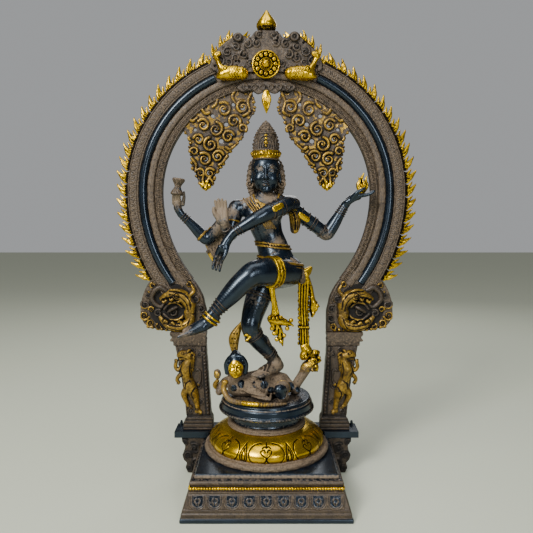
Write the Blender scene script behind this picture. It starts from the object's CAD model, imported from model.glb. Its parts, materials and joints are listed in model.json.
"""The look of the brass nataraja statue: cast figure, flaming arch, lotus and square plinth.

Each shape is modelled in the frame's millimetres and skinned as a closed mesh. Free forms are
signed distance fields (class Clay), turned work is a lathe with relief, mouldings are sweeps.
"""

import json
import math

import bpy
import numpy as np
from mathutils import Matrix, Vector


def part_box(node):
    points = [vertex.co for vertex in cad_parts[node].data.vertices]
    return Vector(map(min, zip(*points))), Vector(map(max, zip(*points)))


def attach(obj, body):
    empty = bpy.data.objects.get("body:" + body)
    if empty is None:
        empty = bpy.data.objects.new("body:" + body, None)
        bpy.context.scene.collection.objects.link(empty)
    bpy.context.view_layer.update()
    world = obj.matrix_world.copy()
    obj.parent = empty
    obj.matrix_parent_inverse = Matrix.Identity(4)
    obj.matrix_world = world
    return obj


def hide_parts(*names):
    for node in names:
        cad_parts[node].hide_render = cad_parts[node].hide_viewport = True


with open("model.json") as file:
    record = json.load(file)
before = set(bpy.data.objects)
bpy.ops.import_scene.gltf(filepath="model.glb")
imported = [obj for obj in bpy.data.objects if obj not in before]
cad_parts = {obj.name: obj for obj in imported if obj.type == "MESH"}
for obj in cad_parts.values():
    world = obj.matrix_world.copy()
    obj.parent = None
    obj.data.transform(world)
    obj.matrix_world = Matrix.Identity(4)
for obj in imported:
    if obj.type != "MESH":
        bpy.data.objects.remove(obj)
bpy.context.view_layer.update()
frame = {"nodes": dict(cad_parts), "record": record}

MM = 0.001
FAR = 60.0
REACH = 5.0
RNG = np.random.default_rng(7)
BODY_OF = {n: b for b, nodes in frame["record"]["behaviour"]["bodies"].items() for n in nodes}


def box_mm(*nodes):
    """Lowest and highest corner of some CAD nodes together, in millimetres."""
    boxes = [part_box(n) for n in nodes]
    low = np.min([tuple(b[0]) for b in boxes], axis=0) / MM
    high = np.max([tuple(b[1]) for b in boxes], axis=0) / MM
    return low, high


# ---------- materials ----------

PATINA_BASE = (0.0016, 0.0028, 0.0050)
PATINA_PALE = (0.005, 0.010, 0.018)
DUST = (0.195, 0.140, 0.088)
UMBER_BASE = (0.070, 0.046, 0.025)
UMBER_DEEP = (0.030, 0.019, 0.010)
UMBER_DARK = (0.0035, 0.0022, 0.0014)
GILT_BASE = (0.80, 0.50, 0.006)
GILT_DEEP = (0.34, 0.20, 0.004)
GILT_RECESS = (0.008, 0.005, 0.002)
OLD_GILT_BASE = (0.44, 0.26, 0.026)
OLD_GILT_DEEP = (0.11, 0.065, 0.015)


class Nodes:
    """Short forms for the few shader nodes that the finishes share."""

    def __init__(self, material):
        self.tree = material.node_tree
        self.tree.nodes.clear()
        self.where = self.new("ShaderNodeTexCoord").outputs["Object"]

    def new(self, kind, **values):
        node = self.tree.nodes.new(kind)
        for key, value in values.items():
            setattr(node, key, value)
        return node

    def link(self, a, b):
        self.tree.links.new(a, b)

    def noise(self, scale, detail=4.0, rough=0.6, stretch=None):
        node = self.new("ShaderNodeTexNoise")
        node.inputs["Scale"].default_value = scale
        node.inputs["Detail"].default_value = detail
        node.inputs["Roughness"].default_value = rough
        source = self.where
        if stretch:
            mapping = self.new("ShaderNodeMapping")
            mapping.inputs["Scale"].default_value = stretch
            self.link(self.where, mapping.inputs["Vector"])
            source = mapping.outputs["Vector"]
        self.link(source, node.inputs["Vector"])
        return node.outputs["Fac"]

    def attribute(self, name):
        return self.new("ShaderNodeAttribute", attribute_name=name).outputs["Fac"]

    def ramp(self, value, low, high, to_low=0.0, to_high=1.0):
        node = self.new("ShaderNodeMapRange")
        node.inputs["From Min"].default_value = low
        node.inputs["From Max"].default_value = high
        node.inputs["To Min"].default_value = to_low
        node.inputs["To Max"].default_value = to_high
        self.link(value, node.inputs["Value"])
        return node.outputs["Result"]

    def math(self, operation, a, b):
        node = self.new("ShaderNodeMath", operation=operation)
        for socket, value in zip(node.inputs, (a, b)):
            if isinstance(value, (int, float)):
                socket.default_value = value
            else:
                self.link(value, socket)
        return node.outputs["Value"]

    def mix(self, factor, a, b):
        node = self.new("ShaderNodeMix", data_type="RGBA")
        self.link(factor, node.inputs["Factor"])
        for name, value in (("A", a), ("B", b)):
            socket = [s for s in node.inputs if s.name == name and s.type == "RGBA"][0]
            if isinstance(value, tuple):
                socket.default_value = (*value, 1.0)
            else:
                self.link(value, socket)
        return [s for s in node.outputs if s.type == "RGBA"][0]


def finish(name, base, second, recess, metallic, rough, rough_dirt, recess_at, dust_gain,
           bump, specular=0.5, speckle=0.0, second_scale=55.0, patchy=0.08, tint=(1.0, 1.0, 1.0)):
    """A cast metal finish: two base tones, dark recesses, dust where the surface is marked."""
    material = bpy.data.materials.new(name)
    material.use_nodes = True
    n = Nodes(material)
    shader = n.new("ShaderNodeBsdfPrincipled")
    output = n.new("ShaderNodeOutputMaterial")
    n.link(shader.outputs["BSDF"], output.inputs["Surface"])
    shader.inputs["Metallic"].default_value = metallic
    shader.inputs["Specular IOR Level"].default_value = specular
    shader.inputs["Specular Tint"].default_value = (*tint, 1.0)
    cavity = n.attribute("cavity")
    dusty = n.attribute("dust")
    broad = n.noise(second_scale, 5.0)
    middle = n.noise(240.0, 5.0, 0.65)
    fine = n.noise(1300.0, 3.0, 0.6)
    colour = n.mix(n.ramp(broad, 0.35, 0.68), base, second)
    grime = n.math("ADD", cavity, n.ramp(middle, 0.3, 0.75, -0.22, 0.22))
    grime = n.ramp(grime, recess_at[0], recess_at[1])
    colour = n.mix(grime, colour, recess)
    cover = n.math("MULTIPLY", dusty, dust_gain)
    cover = n.math("ADD", cover, n.ramp(middle, 0.3, 0.7, -0.45, 0.35))
    cover = n.ramp(cover, 0.15, 0.75)
    cover = n.math("MULTIPLY", cover, n.ramp(dusty, 0.02, 0.2))
    colour = n.mix(cover, colour, DUST)
    if speckle:
        spots = n.ramp(n.noise(620.0, 2.0, 0.5), 0.50, 0.66, 0.0, speckle)
        colour = n.mix(spots, colour, recess)
    n.link(colour, shader.inputs["Base Color"])
    dirt = n.math("MAXIMUM", grime, cover)
    roughness = n.ramp(dirt, 0.0, 1.0, rough, rough_dirt)
    roughness = n.math("ADD", roughness, n.ramp(middle, 0.3, 0.7, -patchy, patchy))
    n.link(roughness, shader.inputs["Roughness"])
    height = n.math("ADD", n.math("MULTIPLY", middle, 0.7), n.math("MULTIPLY", fine, 0.3))
    relief = n.new("ShaderNodeBump")
    relief.inputs["Strength"].default_value = bump
    relief.inputs["Distance"].default_value = 0.0008
    n.link(height, relief.inputs["Height"])
    n.link(relief.outputs["Normal"], shader.inputs["Normal"])
    return material


PATINA = finish("blue_black_patina", PATINA_BASE, PATINA_PALE, UMBER_DARK, metallic=0.0,
                rough=0.25, rough_dirt=0.75, recess_at=(0.45, 0.95), dust_gain=1.1, bump=0.03,
                specular=0.55, patchy=0.03, tint=(0.68, 0.84, 1.0))
UMBER = finish("umber_patina", UMBER_BASE, UMBER_DEEP, UMBER_DARK, metallic=0.1,
               rough=0.46, rough_dirt=0.85, recess_at=(0.14, 0.42), dust_gain=0.9, bump=0.35,
               speckle=0.9)
GILT = finish("gilt_brass", GILT_BASE, GILT_DEEP, GILT_RECESS, metallic=0.9,
              rough=0.25, rough_dirt=0.7, recess_at=(0.24, 0.56), dust_gain=1.0, bump=0.04,
              patchy=0.04, second_scale=30.0)
OLD_GILT = finish("old_gilt", OLD_GILT_BASE, OLD_GILT_DEEP, GILT_RECESS, metallic=0.6,
                  rough=0.36, rough_dirt=0.8, recess_at=(0.14, 0.42), dust_gain=1.0, bump=0.2,
                  speckle=0.4)


# ---------- skins: plain arrays for a mesh ----------


class Skin:
    """Vertices in millimetres, quads, and the marks that the finishes read."""

    def __init__(self, verts, quads, cavity=None, dust=None, metal=None):
        self.verts = np.asarray(verts, float)
        self.quads = np.asarray(quads, np.int64)
        count = len(self.verts)
        self.cavity = np.zeros(count) if cavity is None else np.asarray(cavity, float)
        self.dust = np.zeros(count) if dust is None else np.asarray(dust, float)
        self.metal = np.zeros(len(self.quads), int) if metal is None else metal

    def aged(self, gain, least=0.0):
        """Darker hollows: the cavity marks made stronger, and a least darkness everywhere."""
        self.cavity = np.clip(self.cavity * gain + least, 0, 1)
        return self

    def mirrored(self):
        flipped = self.verts * np.array([-1.0, 1.0, 1.0])
        return Skin(flipped, self.quads[:, ::-1], self.cavity, self.dust, self.metal)

    def normals(self):
        corner = self.verts[self.quads]
        across = np.cross(corner[:, 2] - corner[:, 0], corner[:, 3] - corner[:, 1])
        total = np.zeros_like(self.verts)
        for k in range(4):
            for d in range(3):
                total[:, d] += np.bincount(self.quads[:, k], across[:, d], len(self.verts))
        return total / np.maximum(np.linalg.norm(total, axis=1, keepdims=True), 1e-9)

    def with_cavity(self, rounds=4, gain=1.0):
        """Marks hollows from how far the neighbours' mean lies in front of the surface."""
        a = self.quads.ravel()
        b = np.roll(self.quads, -1, axis=1).ravel()
        count = len(self.verts)
        weight = np.maximum(np.bincount(a, minlength=count) + np.bincount(b, minlength=count), 1)
        level = self.verts.copy()
        for _ in range(rounds):
            for d in range(3):
                total = np.bincount(a, level[b, d], count) + np.bincount(b, level[a, d], count)
                level[:, d] = 0.5 * level[:, d] + 0.5 * total / weight
        rise = ((level - self.verts) * self.normals()).sum(axis=1)
        self.cavity = np.clip(0.12 + rise * gain, 0.0, 1.0)
        return self


def joined(skins):
    """One skin out of several."""
    start = np.cumsum([0] + [len(s.verts) for s in skins])
    return Skin(
        np.concatenate([s.verts for s in skins]),
        np.concatenate([s.quads + i for s, i in zip(skins, start)]),
        np.concatenate([s.cavity for s in skins]),
        np.concatenate([s.dust for s in skins]),
        np.concatenate([s.metal for s in skins]),
    )


def show(name, skin, nodes, *materials):
    """Makes the piece, lets it ride with its CAD nodes' body and stand for those nodes."""
    mesh = bpy.data.meshes.new(name)
    count = len(skin.quads)
    mesh.vertices.add(len(skin.verts))
    mesh.vertices.foreach_set("co", (skin.verts * MM).astype(np.float32).ravel())
    mesh.loops.add(4 * count)
    mesh.loops.foreach_set("vertex_index", skin.quads.astype(np.int32).ravel())
    mesh.polygons.add(count)
    mesh.polygons.foreach_set("loop_start", np.arange(0, 4 * count, 4, dtype=np.int32))
    mesh.polygons.foreach_set("material_index", skin.metal.astype(np.int32))
    for key, values in (("cavity", skin.cavity), ("dust", skin.dust)):
        layer = mesh.attributes.new(key, "FLOAT", "POINT")
        layer.data.foreach_set("value", values.astype(np.float32))
    mesh.update(calc_edges=True)
    mesh.validate()
    mesh.shade_smooth()
    for material in materials:
        mesh.materials.append(material)
    piece = bpy.data.objects.new(name, mesh)
    bpy.context.scene.collection.objects.link(piece)
    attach(piece, BODY_OF[nodes[0]])
    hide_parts(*nodes)


def show_pair(stem, skin, *materials):
    """The casting of the right half, and its mirror image on the left."""
    show(f"{stem}_right_casting", skin, [f"{stem}_right"], *materials)
    show(f"{stem}_left_casting", skin.mirrored(), [f"{stem}_left"], *materials)


# ---------- distance shapes: (lowest corner, highest corner, distance function) ----------


def smooth_path(stations, steps=5):
    """Catmull-Rom curve through stations of any width."""
    p = np.asarray(stations, float)
    if len(p) < 3:
        t = np.linspace(0, 1, steps + 1)[:, None]
        return p[0] * (1 - t) + p[-1] * t
    p = np.vstack([2 * p[0] - p[1], p, 2 * p[-1] - p[-2]])
    out = []
    for i in range(1, len(p) - 2):
        for t in np.arange(steps) / steps:
            a, b, c, d = p[i - 1:i + 3]
            out.append(0.5 * (2 * b + (c - a) * t + (2 * a - 5 * b + 4 * c - d) * t ** 2
                              + (3 * b - a - 3 * c + d) * t ** 3))
    out.append(p[-2])
    return np.array(out)


def cone(a, b, ra, rb, flat=None):
    """Rounded cone from a to b. flat is (nx, ny, nz, ratio): thinner along that direction."""
    a = np.asarray(a, float)
    b = np.asarray(b, float)
    reach = max(ra, rb)

    def distance(x, y, z):
        pa = [x - a[0], y - a[1], z - a[2]]
        ba = b - a
        if flat:
            n = np.asarray(flat[:3], float)
            along = (pa[0] * n[0] + pa[1] * n[1] + pa[2] * n[2]) * (flat[3] - 1)
            pa = [pa[d] + along * n[d] for d in range(3)]
            ba = ba + n * (ba @ n) * (flat[3] - 1)
        h = (pa[0] * ba[0] + pa[1] * ba[1] + pa[2] * ba[2]) / max(ba @ ba, 1e-9)
        h = np.clip(h, 0, 1)
        gap = (pa[0] - h * ba[0]) ** 2 + (pa[1] - h * ba[1]) ** 2 + (pa[2] - h * ba[2]) ** 2
        return np.sqrt(gap) - (ra + (rb - ra) * h)

    return np.minimum(a, b) - reach, np.maximum(a, b) + reach, distance


def limb(stations, flat=None, steps=5):
    """Smooth limb through stations [x, y, z, radius], as cones to be merged."""
    p = smooth_path(stations, steps)
    return [cone(p[i][:3], p[i + 1][:3], max(p[i][3], 0.3), max(p[i + 1][3], 0.3), flat)
            for i in range(len(p) - 1)]


def egg(centre, radii, turn=None):
    """Ellipsoid, turned by the 3x3 matrix turn if there is one."""
    c = np.asarray(centre, float)
    r = np.asarray(radii, float)
    m = np.eye(3) if turn is None else turn

    def distance(x, y, z):
        p = [x - c[0], y - c[1], z - c[2]]
        q = [(m[0][d] * p[0] + m[1][d] * p[1] + m[2][d] * p[2]) / r[d] for d in range(3)]
        k0 = np.sqrt(q[0] ** 2 + q[1] ** 2 + q[2] ** 2)
        k1 = np.sqrt((q[0] / r[0]) ** 2 + (q[1] / r[1]) ** 2 + (q[2] / r[2]) ** 2)
        return k0 * (k0 - 1) / np.maximum(k1, 1e-6)

    return c - r.max(), c + r.max(), distance


def ball(centre, r):
    return egg(centre, (r, r, r))


def from_axis(centre, axis):
    """Function that gives how far a point lies along an axis and away from it."""
    c = np.asarray(centre, float)
    n = np.asarray(axis, float) / np.linalg.norm(axis)

    def measure(x, y, z):
        p = [x - c[0], y - c[1], z - c[2]]
        along = p[0] * n[0] + p[1] * n[1] + p[2] * n[2]
        across = np.sqrt(np.maximum(p[0] ** 2 + p[1] ** 2 + p[2] ** 2 - along ** 2, 0))
        return along, across

    return measure


def hoop(centre, axis, radius, thick):
    """Ring of round section about an axis."""
    c = np.asarray(centre, float)
    measure = from_axis(centre, axis)

    def distance(x, y, z):
        along, across = measure(x, y, z)
        return np.sqrt((across - radius) ** 2 + along ** 2) - thick

    return c - radius - thick, c + radius + thick, distance


def disc(centre, axis, half, radius):
    """Flat disc: the slab in which a band round a limb lies."""
    c = np.asarray(centre, float)
    measure = from_axis(centre, axis)

    def distance(x, y, z):
        along, across = measure(x, y, z)
        return np.maximum(np.abs(along) - half, across - radius)

    return c - radius, c + radius, distance


def plate(outline, y0, y1, smooth=0):
    """Solid of an outline drawn in X and Z, from y0 at the front to y1 at the back."""
    p = np.asarray(outline, float)
    if smooth:
        p = smooth_path(np.vstack([p, p[:1]]), smooth)[:-1]
    low = np.array([p[:, 0].min(), y0, p[:, 1].min()])
    high = np.array([p[:, 0].max(), y1, p[:, 1].max()])

    def distance(x, y, z):
        x, z = np.broadcast_arrays(x, z)
        near = np.full(x.shape, 1e9)
        inside = np.zeros(x.shape, bool)
        for a, b in zip(p, np.roll(p, -1, axis=0)):
            e = b - a
            wx, wz = x - a[0], z - a[1]
            h = np.clip((wx * e[0] + wz * e[1]) / max(e @ e, 1e-9), 0, 1)
            near = np.minimum(near, (wx - e[0] * h) ** 2 + (wz - e[1] * h) ** 2)
            above = (a[1] > z) != (b[1] > z)
            cross = (e[0] * (z - a[1]) / (e[1] if abs(e[1]) > 1e-9 else 1e-9)) + a[0]
            inside ^= above & (x < cross)
        flat = np.where(inside, -np.sqrt(near), np.sqrt(near))
        return np.maximum(flat, np.maximum(y0 - y, y - y1))

    return low, high, distance


def block(low, high):
    """Box with its sides along the axes."""
    low = np.asarray(low, float)
    high = np.asarray(high, float)

    def distance(x, y, z):
        dx = np.maximum(low[0] - x, x - high[0])
        dy = np.maximum(low[1] - y, y - high[1])
        dz = np.maximum(low[2] - z, z - high[2])
        return np.maximum(np.maximum(dx, dy), dz)

    return low, high, distance


def spiral(x, z, r, turns=1.35, start=90, side=1, count=18):
    """Points (x, z) and a shrinking share of a scroll, from its outer end to its eye."""
    t = np.linspace(0, 1, count)
    angle = np.radians(start) + side * t * turns * 2 * math.pi
    radius = r * (1 - 0.78 * t)
    return np.stack([x + radius * np.cos(angle), z + radius * np.sin(angle), 1 - 0.45 * t], 1)


# ---------- clay ----------


def soft_min(a, b, k):
    if k <= 0:
        return np.minimum(a, b)
    h = np.maximum(k - np.abs(a - b), 0) / k
    return np.minimum(a, b) - h * h * k * 0.25


class Clay:
    """A solid as a field of distances in millimetres over the box of its CAD nodes."""

    def __init__(self, *nodes, voxel=1.0, grow=3.0, grid=None):
        """A grid, as its lowest corner and its counts, stands in for the box of the nodes."""
        if grid is None:
            low, high = box_mm(*nodes)
            grid = low - grow, np.ceil((high - low + 2 * grow) / voxel).astype(int) + 1
        self.voxel = voxel
        self.low, self.count = grid
        self.field = np.full(self.count, FAR, np.float32)
        self.dust_spots = []
        self.paints = []

    def twin(self):
        """Empty clay on the same grid, for a piece that lies on this one."""
        return Clay(voxel=self.voxel, grid=(self.low, self.count))

    def window(self, low, high):
        first = np.floor((low - REACH - self.low) / self.voxel).astype(int)
        last = np.ceil((high + REACH - self.low) / self.voxel).astype(int) + 1
        return np.clip(first, 0, self.count), np.clip(last, 0, self.count)

    def merged(self, shapes):
        """Window of the grid round some shapes, and their distance there."""
        spans = [self.window(s[0], s[1]) for s in shapes]
        first = np.min([s[0] for s in spans], axis=0)
        last = np.max([s[1] for s in spans], axis=0)
        field = np.full(np.maximum(last - first, 0), FAR, np.float32)
        for (a, b), shape in zip(spans, shapes):
            if np.any(b <= a):
                continue
            grid = [self.low[d] + self.voxel * np.arange(a[d], b[d], dtype=np.float32)
                    for d in range(3)]
            x, y, z = grid[0][:, None, None], grid[1][None, :, None], grid[2][None, None, :]
            part = tuple(slice(a[d] - first[d], b[d] - first[d]) for d in range(3))
            field[part] = np.minimum(field[part], shape[2](x, y, z))
        return tuple(slice(a, b) for a, b in zip(first, last)), field

    def add(self, *shapes, blend=2.0):
        shapes = flat_list(shapes)
        part, field = self.merged(shapes)
        self.field[part] = soft_min(self.field[part], field, blend)
        return self

    def carve(self, *shapes, blend=1.0):
        part, field = self.merged(flat_list(shapes))
        self.field[part] = -soft_min(-self.field[part], field, blend)
        return self

    def emboss(self, *shapes, height=1.0, soft=0.6):
        """Raises the surface inside the shapes, or sinks it for a negative height."""
        part, field = self.merged(flat_list(shapes))
        here = self.field[part]
        if height > 0:
            lifted = -soft_min(-(here - height), -field, soft)
            self.field[part] = soft_min(here, lifted, soft)
        else:
            sunk = soft_min(here - height, -field, soft)
            self.field[part] = -soft_min(-here, -sunk, soft)
        return self

    def wrap(self, core, *shapes, height=1.0, soft=0.5):
        """Bands round another clay's surface, inside the shapes."""
        part, field = self.merged(flat_list(shapes))
        band = -soft_min(-(core.field[part] - height), -field, soft)
        self.field[part] = np.minimum(self.field[part], band)
        return self

    def keep(self, shape, blend=0.0):
        """Cuts away everything outside one shape."""
        grid = [self.low[d] + self.voxel * np.arange(self.count[d]) for d in range(3)]
        field = shape[2](grid[0][:, None, None], grid[1][None, :, None], grid[2][None, None, :])
        self.field = -soft_min(-self.field, -field.astype(np.float32), blend)
        return self

    def soften(self, rounds=1):
        for _ in range(rounds):
            for d in range(3):
                f = np.moveaxis(self.field, d, 0)
                f[1:-1] = 0.25 * f[:-2] + 0.5 * f[1:-1] + 0.25 * f[2:]
        return self

    def lumps(self, size, height, seed):
        """Pushes the surface in and out with a smooth random field."""
        coarse = np.maximum((self.count * self.voxel / size).astype(int) + 3, 2)
        field = np.random.default_rng(seed).uniform(-1, 1, coarse)
        for d in range(3):
            at = np.arange(self.count[d]) * self.voxel / size
            i = np.minimum(at.astype(int), coarse[d] - 2)
            t = at - i
            t = (t * t * (3 - 2 * t)).reshape([-1 if k == d else 1 for k in range(3)])
            field = np.take(field, i, axis=d) * (1 - t) + np.take(field, i + 1, axis=d) * t
        self.field += (field * height).astype(np.float32)
        return self

    def front(self, x, z, missing=0.0):
        """Y of the surface seen from the front at x, z."""
        i = int(np.clip(round((x - self.low[0]) / self.voxel), 0, self.count[0] - 1))
        k = int(np.clip(round((z - self.low[2]) / self.voxel), 0, self.count[2] - 1))
        column = self.field[i, :, k]
        hits = np.nonzero(column < 0)[0]
        if not len(hits) or hits[0] == 0:
            return missing
        j = hits[0]
        step = column[j - 1] / (column[j - 1] - column[j])
        return float(self.low[1] + self.voxel * (j - 1 + step))

    def drape(self, path, r, sink=0.0, core=None, steps=5):
        """Cones along a path (x, z) or (x, z, share of r) that lies on the front surface."""
        points = smooth_path([(*p, 1.0)[:3] if len(p) == 2 else p for p in path], steps)
        core = core or self
        y = np.array([core.front(p[0], p[1]) for p in points]) + sink
        return [cone((points[i][0], y[i], points[i][1]), (points[i + 1][0], y[i + 1],
                     points[i + 1][1]), r * points[i][2], r * points[i + 1][2])
                for i in range(len(points) - 1)]

    def dust(self, *spots):
        """Each spot is (x, y, z, radius, amount)."""
        self.dust_spots += spots
        return self

    def paint(self, index, *shapes):
        """Faces inside the shapes get the material with that index."""
        self.paints += [(index, s) for s in flat_list(shapes)]
        return self

    def sample(self, points):
        at = (points - self.low) / self.voxel
        at = np.clip(at, 0, self.count - 1.001)
        i = at.astype(int)
        t = at - i
        total = np.zeros(len(points))
        for corner in np.ndindex(2, 2, 2):
            weight = np.prod([t[:, d] if corner[d] else 1 - t[:, d] for d in range(3)], axis=0)
            total += weight * self.field[i[:, 0] + corner[0], i[:, 1] + corner[1],
                                         i[:, 2] + corner[2]]
        return total

    def skin(self):
        """Closed surface of the clay by surface nets, with its marks."""
        f = self.field
        f[[0, -1]] = np.maximum(f[[0, -1]], 0.5)
        f[:, [0, -1]] = np.maximum(f[:, [0, -1]], 0.5)
        f[:, :, [0, -1]] = np.maximum(f[:, :, [0, -1]], 0.5)
        inside = f < 0
        corners = list(np.ndindex(2, 2, 2))
        size = self.count - 1
        total = np.zeros(size, np.int8)
        for c in corners:
            total += inside[c[0]:c[0] + size[0], c[1]:c[1] + size[1], c[2]:c[2] + size[2]]
        cells = np.argwhere((total > 0) & (total < 8))
        values = np.stack([f[tuple((cells + c).T)] for c in corners], 1)
        place = np.zeros((len(cells), 3))
        hits = np.zeros(len(cells))
        for a, b in [(a, b) for a in range(8) for b in range(a + 1, 8)
                     if sum(abs(np.subtract(corners[a], corners[b]))) == 1]:
            cross = (values[:, a] < 0) != (values[:, b] < 0)
            t = values[:, a] / np.where(cross, values[:, a] - values[:, b], 1)
            step = np.array(corners[a]) + t[:, None] * np.subtract(corners[b], corners[a])
            place += np.where(cross[:, None], step, 0)
            hits += cross
        verts = self.low + self.voxel * (cells + place / hits[:, None])
        index = np.full(size, -1, np.int64)
        index[tuple(cells.T)] = np.arange(len(cells))
        quads = []
        for d in range(3):
            u, v = np.eye(3, dtype=int)[(d + 1) % 3], np.eye(3, dtype=int)[(d + 2) % 3]
            one = np.moveaxis(inside, d, 0)
            change = np.moveaxis(one[:-1] != one[1:], 0, d)
            at = np.argwhere(change)
            at = at[np.all(at[:, [(d + 1) % 3, (d + 2) % 3]] > 0, axis=1)]
            ring = [index[tuple((at - s).T)] for s in (u + v, v, 0 * u, u)]
            quad = np.stack(ring, 1)
            outward = inside[tuple(at.T)]
            quads.append(np.where(outward[:, None], quad, quad[:, ::-1]))
        skin = Skin(verts, np.concatenate(quads))
        return self.marked(skin)

    def marked(self, skin):
        normal = skin.normals()
        near = self.sample(skin.verts + normal * 1.6) / 1.6
        wide = self.sample(skin.verts + normal * REACH * 0.9) / (REACH * 0.9)
        skin.cavity = np.clip(1.15 - 0.55 * np.clip(near, -0.5, 1) - 0.5 * np.clip(wide, 0, 1),
                              0, 1)
        for x, y, z, radius, amount in self.dust_spots:
            gap = np.linalg.norm(skin.verts - (x, y, z), axis=1) / radius
            skin.dust = np.maximum(skin.dust, amount * np.exp(-gap ** 2))
        centre = skin.verts[skin.quads].mean(axis=1)
        for number, shape in self.paints:
            hit = shape[2](centre[:, 0], centre[:, 1], centre[:, 2]) < 0
            skin.metal[hit] = number
        return skin


def flat_list(shapes):
    out = []
    for s in shapes:
        if isinstance(s, list):
            out += flat_list(s)
        else:
            out.append(s)
    return out


# ---------- turned and swept work ----------


def grid_quads(rows, columns, closed_rows=False, closed_columns=False):
    """Quads of a grid of vertices numbered row by row."""
    i = np.arange(rows if closed_rows else rows - 1)
    j = np.arange(columns if closed_columns else columns - 1)
    i, j = np.meshgrid(i, j, indexing="ij")
    k, m = (i + 1) % rows, (j + 1) % columns
    ring = [i * columns + j, k * columns + j, k * columns + m, i * columns + m]
    return np.stack([r.ravel() for r in ring], 1)


def even_profile(profile, step):
    """Points of an outline at most one step apart, corners kept."""
    p = np.asarray(profile, float)
    out = []
    for a, b in zip(p[:-1], p[1:]):
        count = max(int(np.ceil(np.linalg.norm(b - a) / step)), 1)
        out += [a + (b - a) * t for t in np.arange(count) / count]
    return np.array(out + [p[-1]])


def closed_profile(profile, step, soft=1):
    """Even points round a closed profile, its corners eased a little."""
    p = even_profile(list(profile) + [profile[0]], step)[:-1]
    for _ in range(soft):
        p = 0.25 * np.roll(p, 1, axis=0) + 0.5 * p + 0.25 * np.roll(p, -1, axis=0)
    return p


def outward(p):
    """Unit normals of a closed profile that runs anticlockwise."""
    way = np.roll(p, -1, axis=0) - np.roll(p, 1, axis=0)
    way = way / np.maximum(np.linalg.norm(way, axis=1)[:, None], 1e-9)
    return np.stack([way[:, 1], -way[:, 0]], 1)


def lathe(profile, sides, relief=None, step=1.0, centre=(0, 0), rounds=4, gain=0.6, marks=None):
    """Turned solid from a closed anticlockwise profile (radius, z), pushed out by a relief.

    Marks give how dark the engraving is at an angle, radius and height."""
    p = closed_profile(profile, step)
    n = outward(p)
    angle = np.arange(sides) * 2 * math.pi / sides
    a, r = np.meshgrid(angle, p[:, 0], indexing="ij")
    z = np.broadcast_to(p[:, 1], a.shape)
    dark = None if marks is None else marks(a, r, z).ravel()
    if relief is not None:
        push = relief(a, r, z)
        r, z = r + n[:, 0] * push, z + n[:, 1] * push
    r = np.maximum(r, 0.01)
    verts = np.stack([centre[0] + r * np.sin(a), centre[1] - r * np.cos(a), z], -1)
    quads = grid_quads(sides, len(p), closed_rows=True, closed_columns=True)
    skin = Skin(verts.reshape(-1, 3), quads).with_cavity(rounds, gain)
    if dark is not None:
        skin.cavity = np.maximum(skin.cavity, dark)
    return skin


def about_z(x, y, turn):
    """X and Y turned about the vertical axis."""
    return (x * math.cos(turn) - y * math.sin(turn),
            x * math.sin(turn) + y * math.cos(turn))


def square_sweep(profile, step=3.0, corner=1.2, rounds=3):
    """Moulding of a closed profile (half width, z) run round a square with softened corners."""
    p = closed_profile(profile, 0.9)
    half, z = np.maximum(p[:, 0] - corner, 0), p[:, 1]
    verts = []
    for side in range(4):
        turn = math.radians(90 * side)
        places = [(t * half, -half - corner) for t in
                  np.linspace(-1, 1, max(int(2 * half.max() / step), 2))]
        places += [(half + corner * math.sin(b), -half - corner * math.cos(b))
                   for b in np.radians([22.5, 45, 67.5])]
        for x, y in places:
            verts.append(np.stack([*about_z(x, y, turn), z], 1))
    verts = np.array(verts)
    quads = grid_quads(len(verts), len(p), closed_rows=True, closed_columns=True)
    return Skin(verts.reshape(-1, 3), quads).with_cavity(rounds, 0.8)


def bead(centre, radii, rows=6, sides=10):
    """Small closed ellipsoid."""
    lat = np.linspace(-math.pi / 2 + 0.05, math.pi / 2 - 0.05, rows)
    lon = np.arange(sides) * 2 * math.pi / sides
    b, a = np.meshgrid(lat, lon, indexing="ij")
    unit = np.stack([np.cos(b) * np.cos(a), np.cos(b) * np.sin(a), np.sin(b)], -1)
    verts = np.asarray(centre) + unit.reshape(-1, 3) * radii
    side = grid_quads(rows, sides, closed_columns=True)[:, ::-1]
    cap = np.arange(0, sides // 2 - 1)
    low = np.stack([cap, cap + 1, sides - 2 - cap, sides - 1 - cap], 1)
    top = low + (rows - 1) * sides
    return Skin(verts, np.concatenate([side, low[:, ::-1], top]), np.full(len(verts), 0.1))


# ---------- plinth, lotus and seat ----------

HALF = box_mm("plinth")[1][0]
SLAB_HALF, _, SLAB_TOP = box_mm("top_slab")[1]
DOME_TOP = box_mm("collar")[0][2]
SEAT_LOW, SEAT_HIGH = box_mm("seat_disc")
RIM_R = box_mm("rim_ring")[1][0]
FRIEZE_PETALS = 9
LOTUS_PETALS = 8


def line_groove(u, v, path, width, depth):
    """Push for a groove that follows a polyline in surface coordinates."""
    near = np.full(u.shape, 1e9)
    path = np.asarray(path, float)
    for a, b in zip(path[:-1], path[1:]):
        e = b - a
        t = np.clip(((u - a[0]) * e[0] + (v - a[1]) * e[1]) / max(e @ e, 1e-9), 0, 1)
        near = np.minimum(near, (u - a[0] - e[0] * t) ** 2 + (v - a[1] - e[1] * t) ** 2)
    return -depth * np.exp(-near / (width * width))


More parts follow.
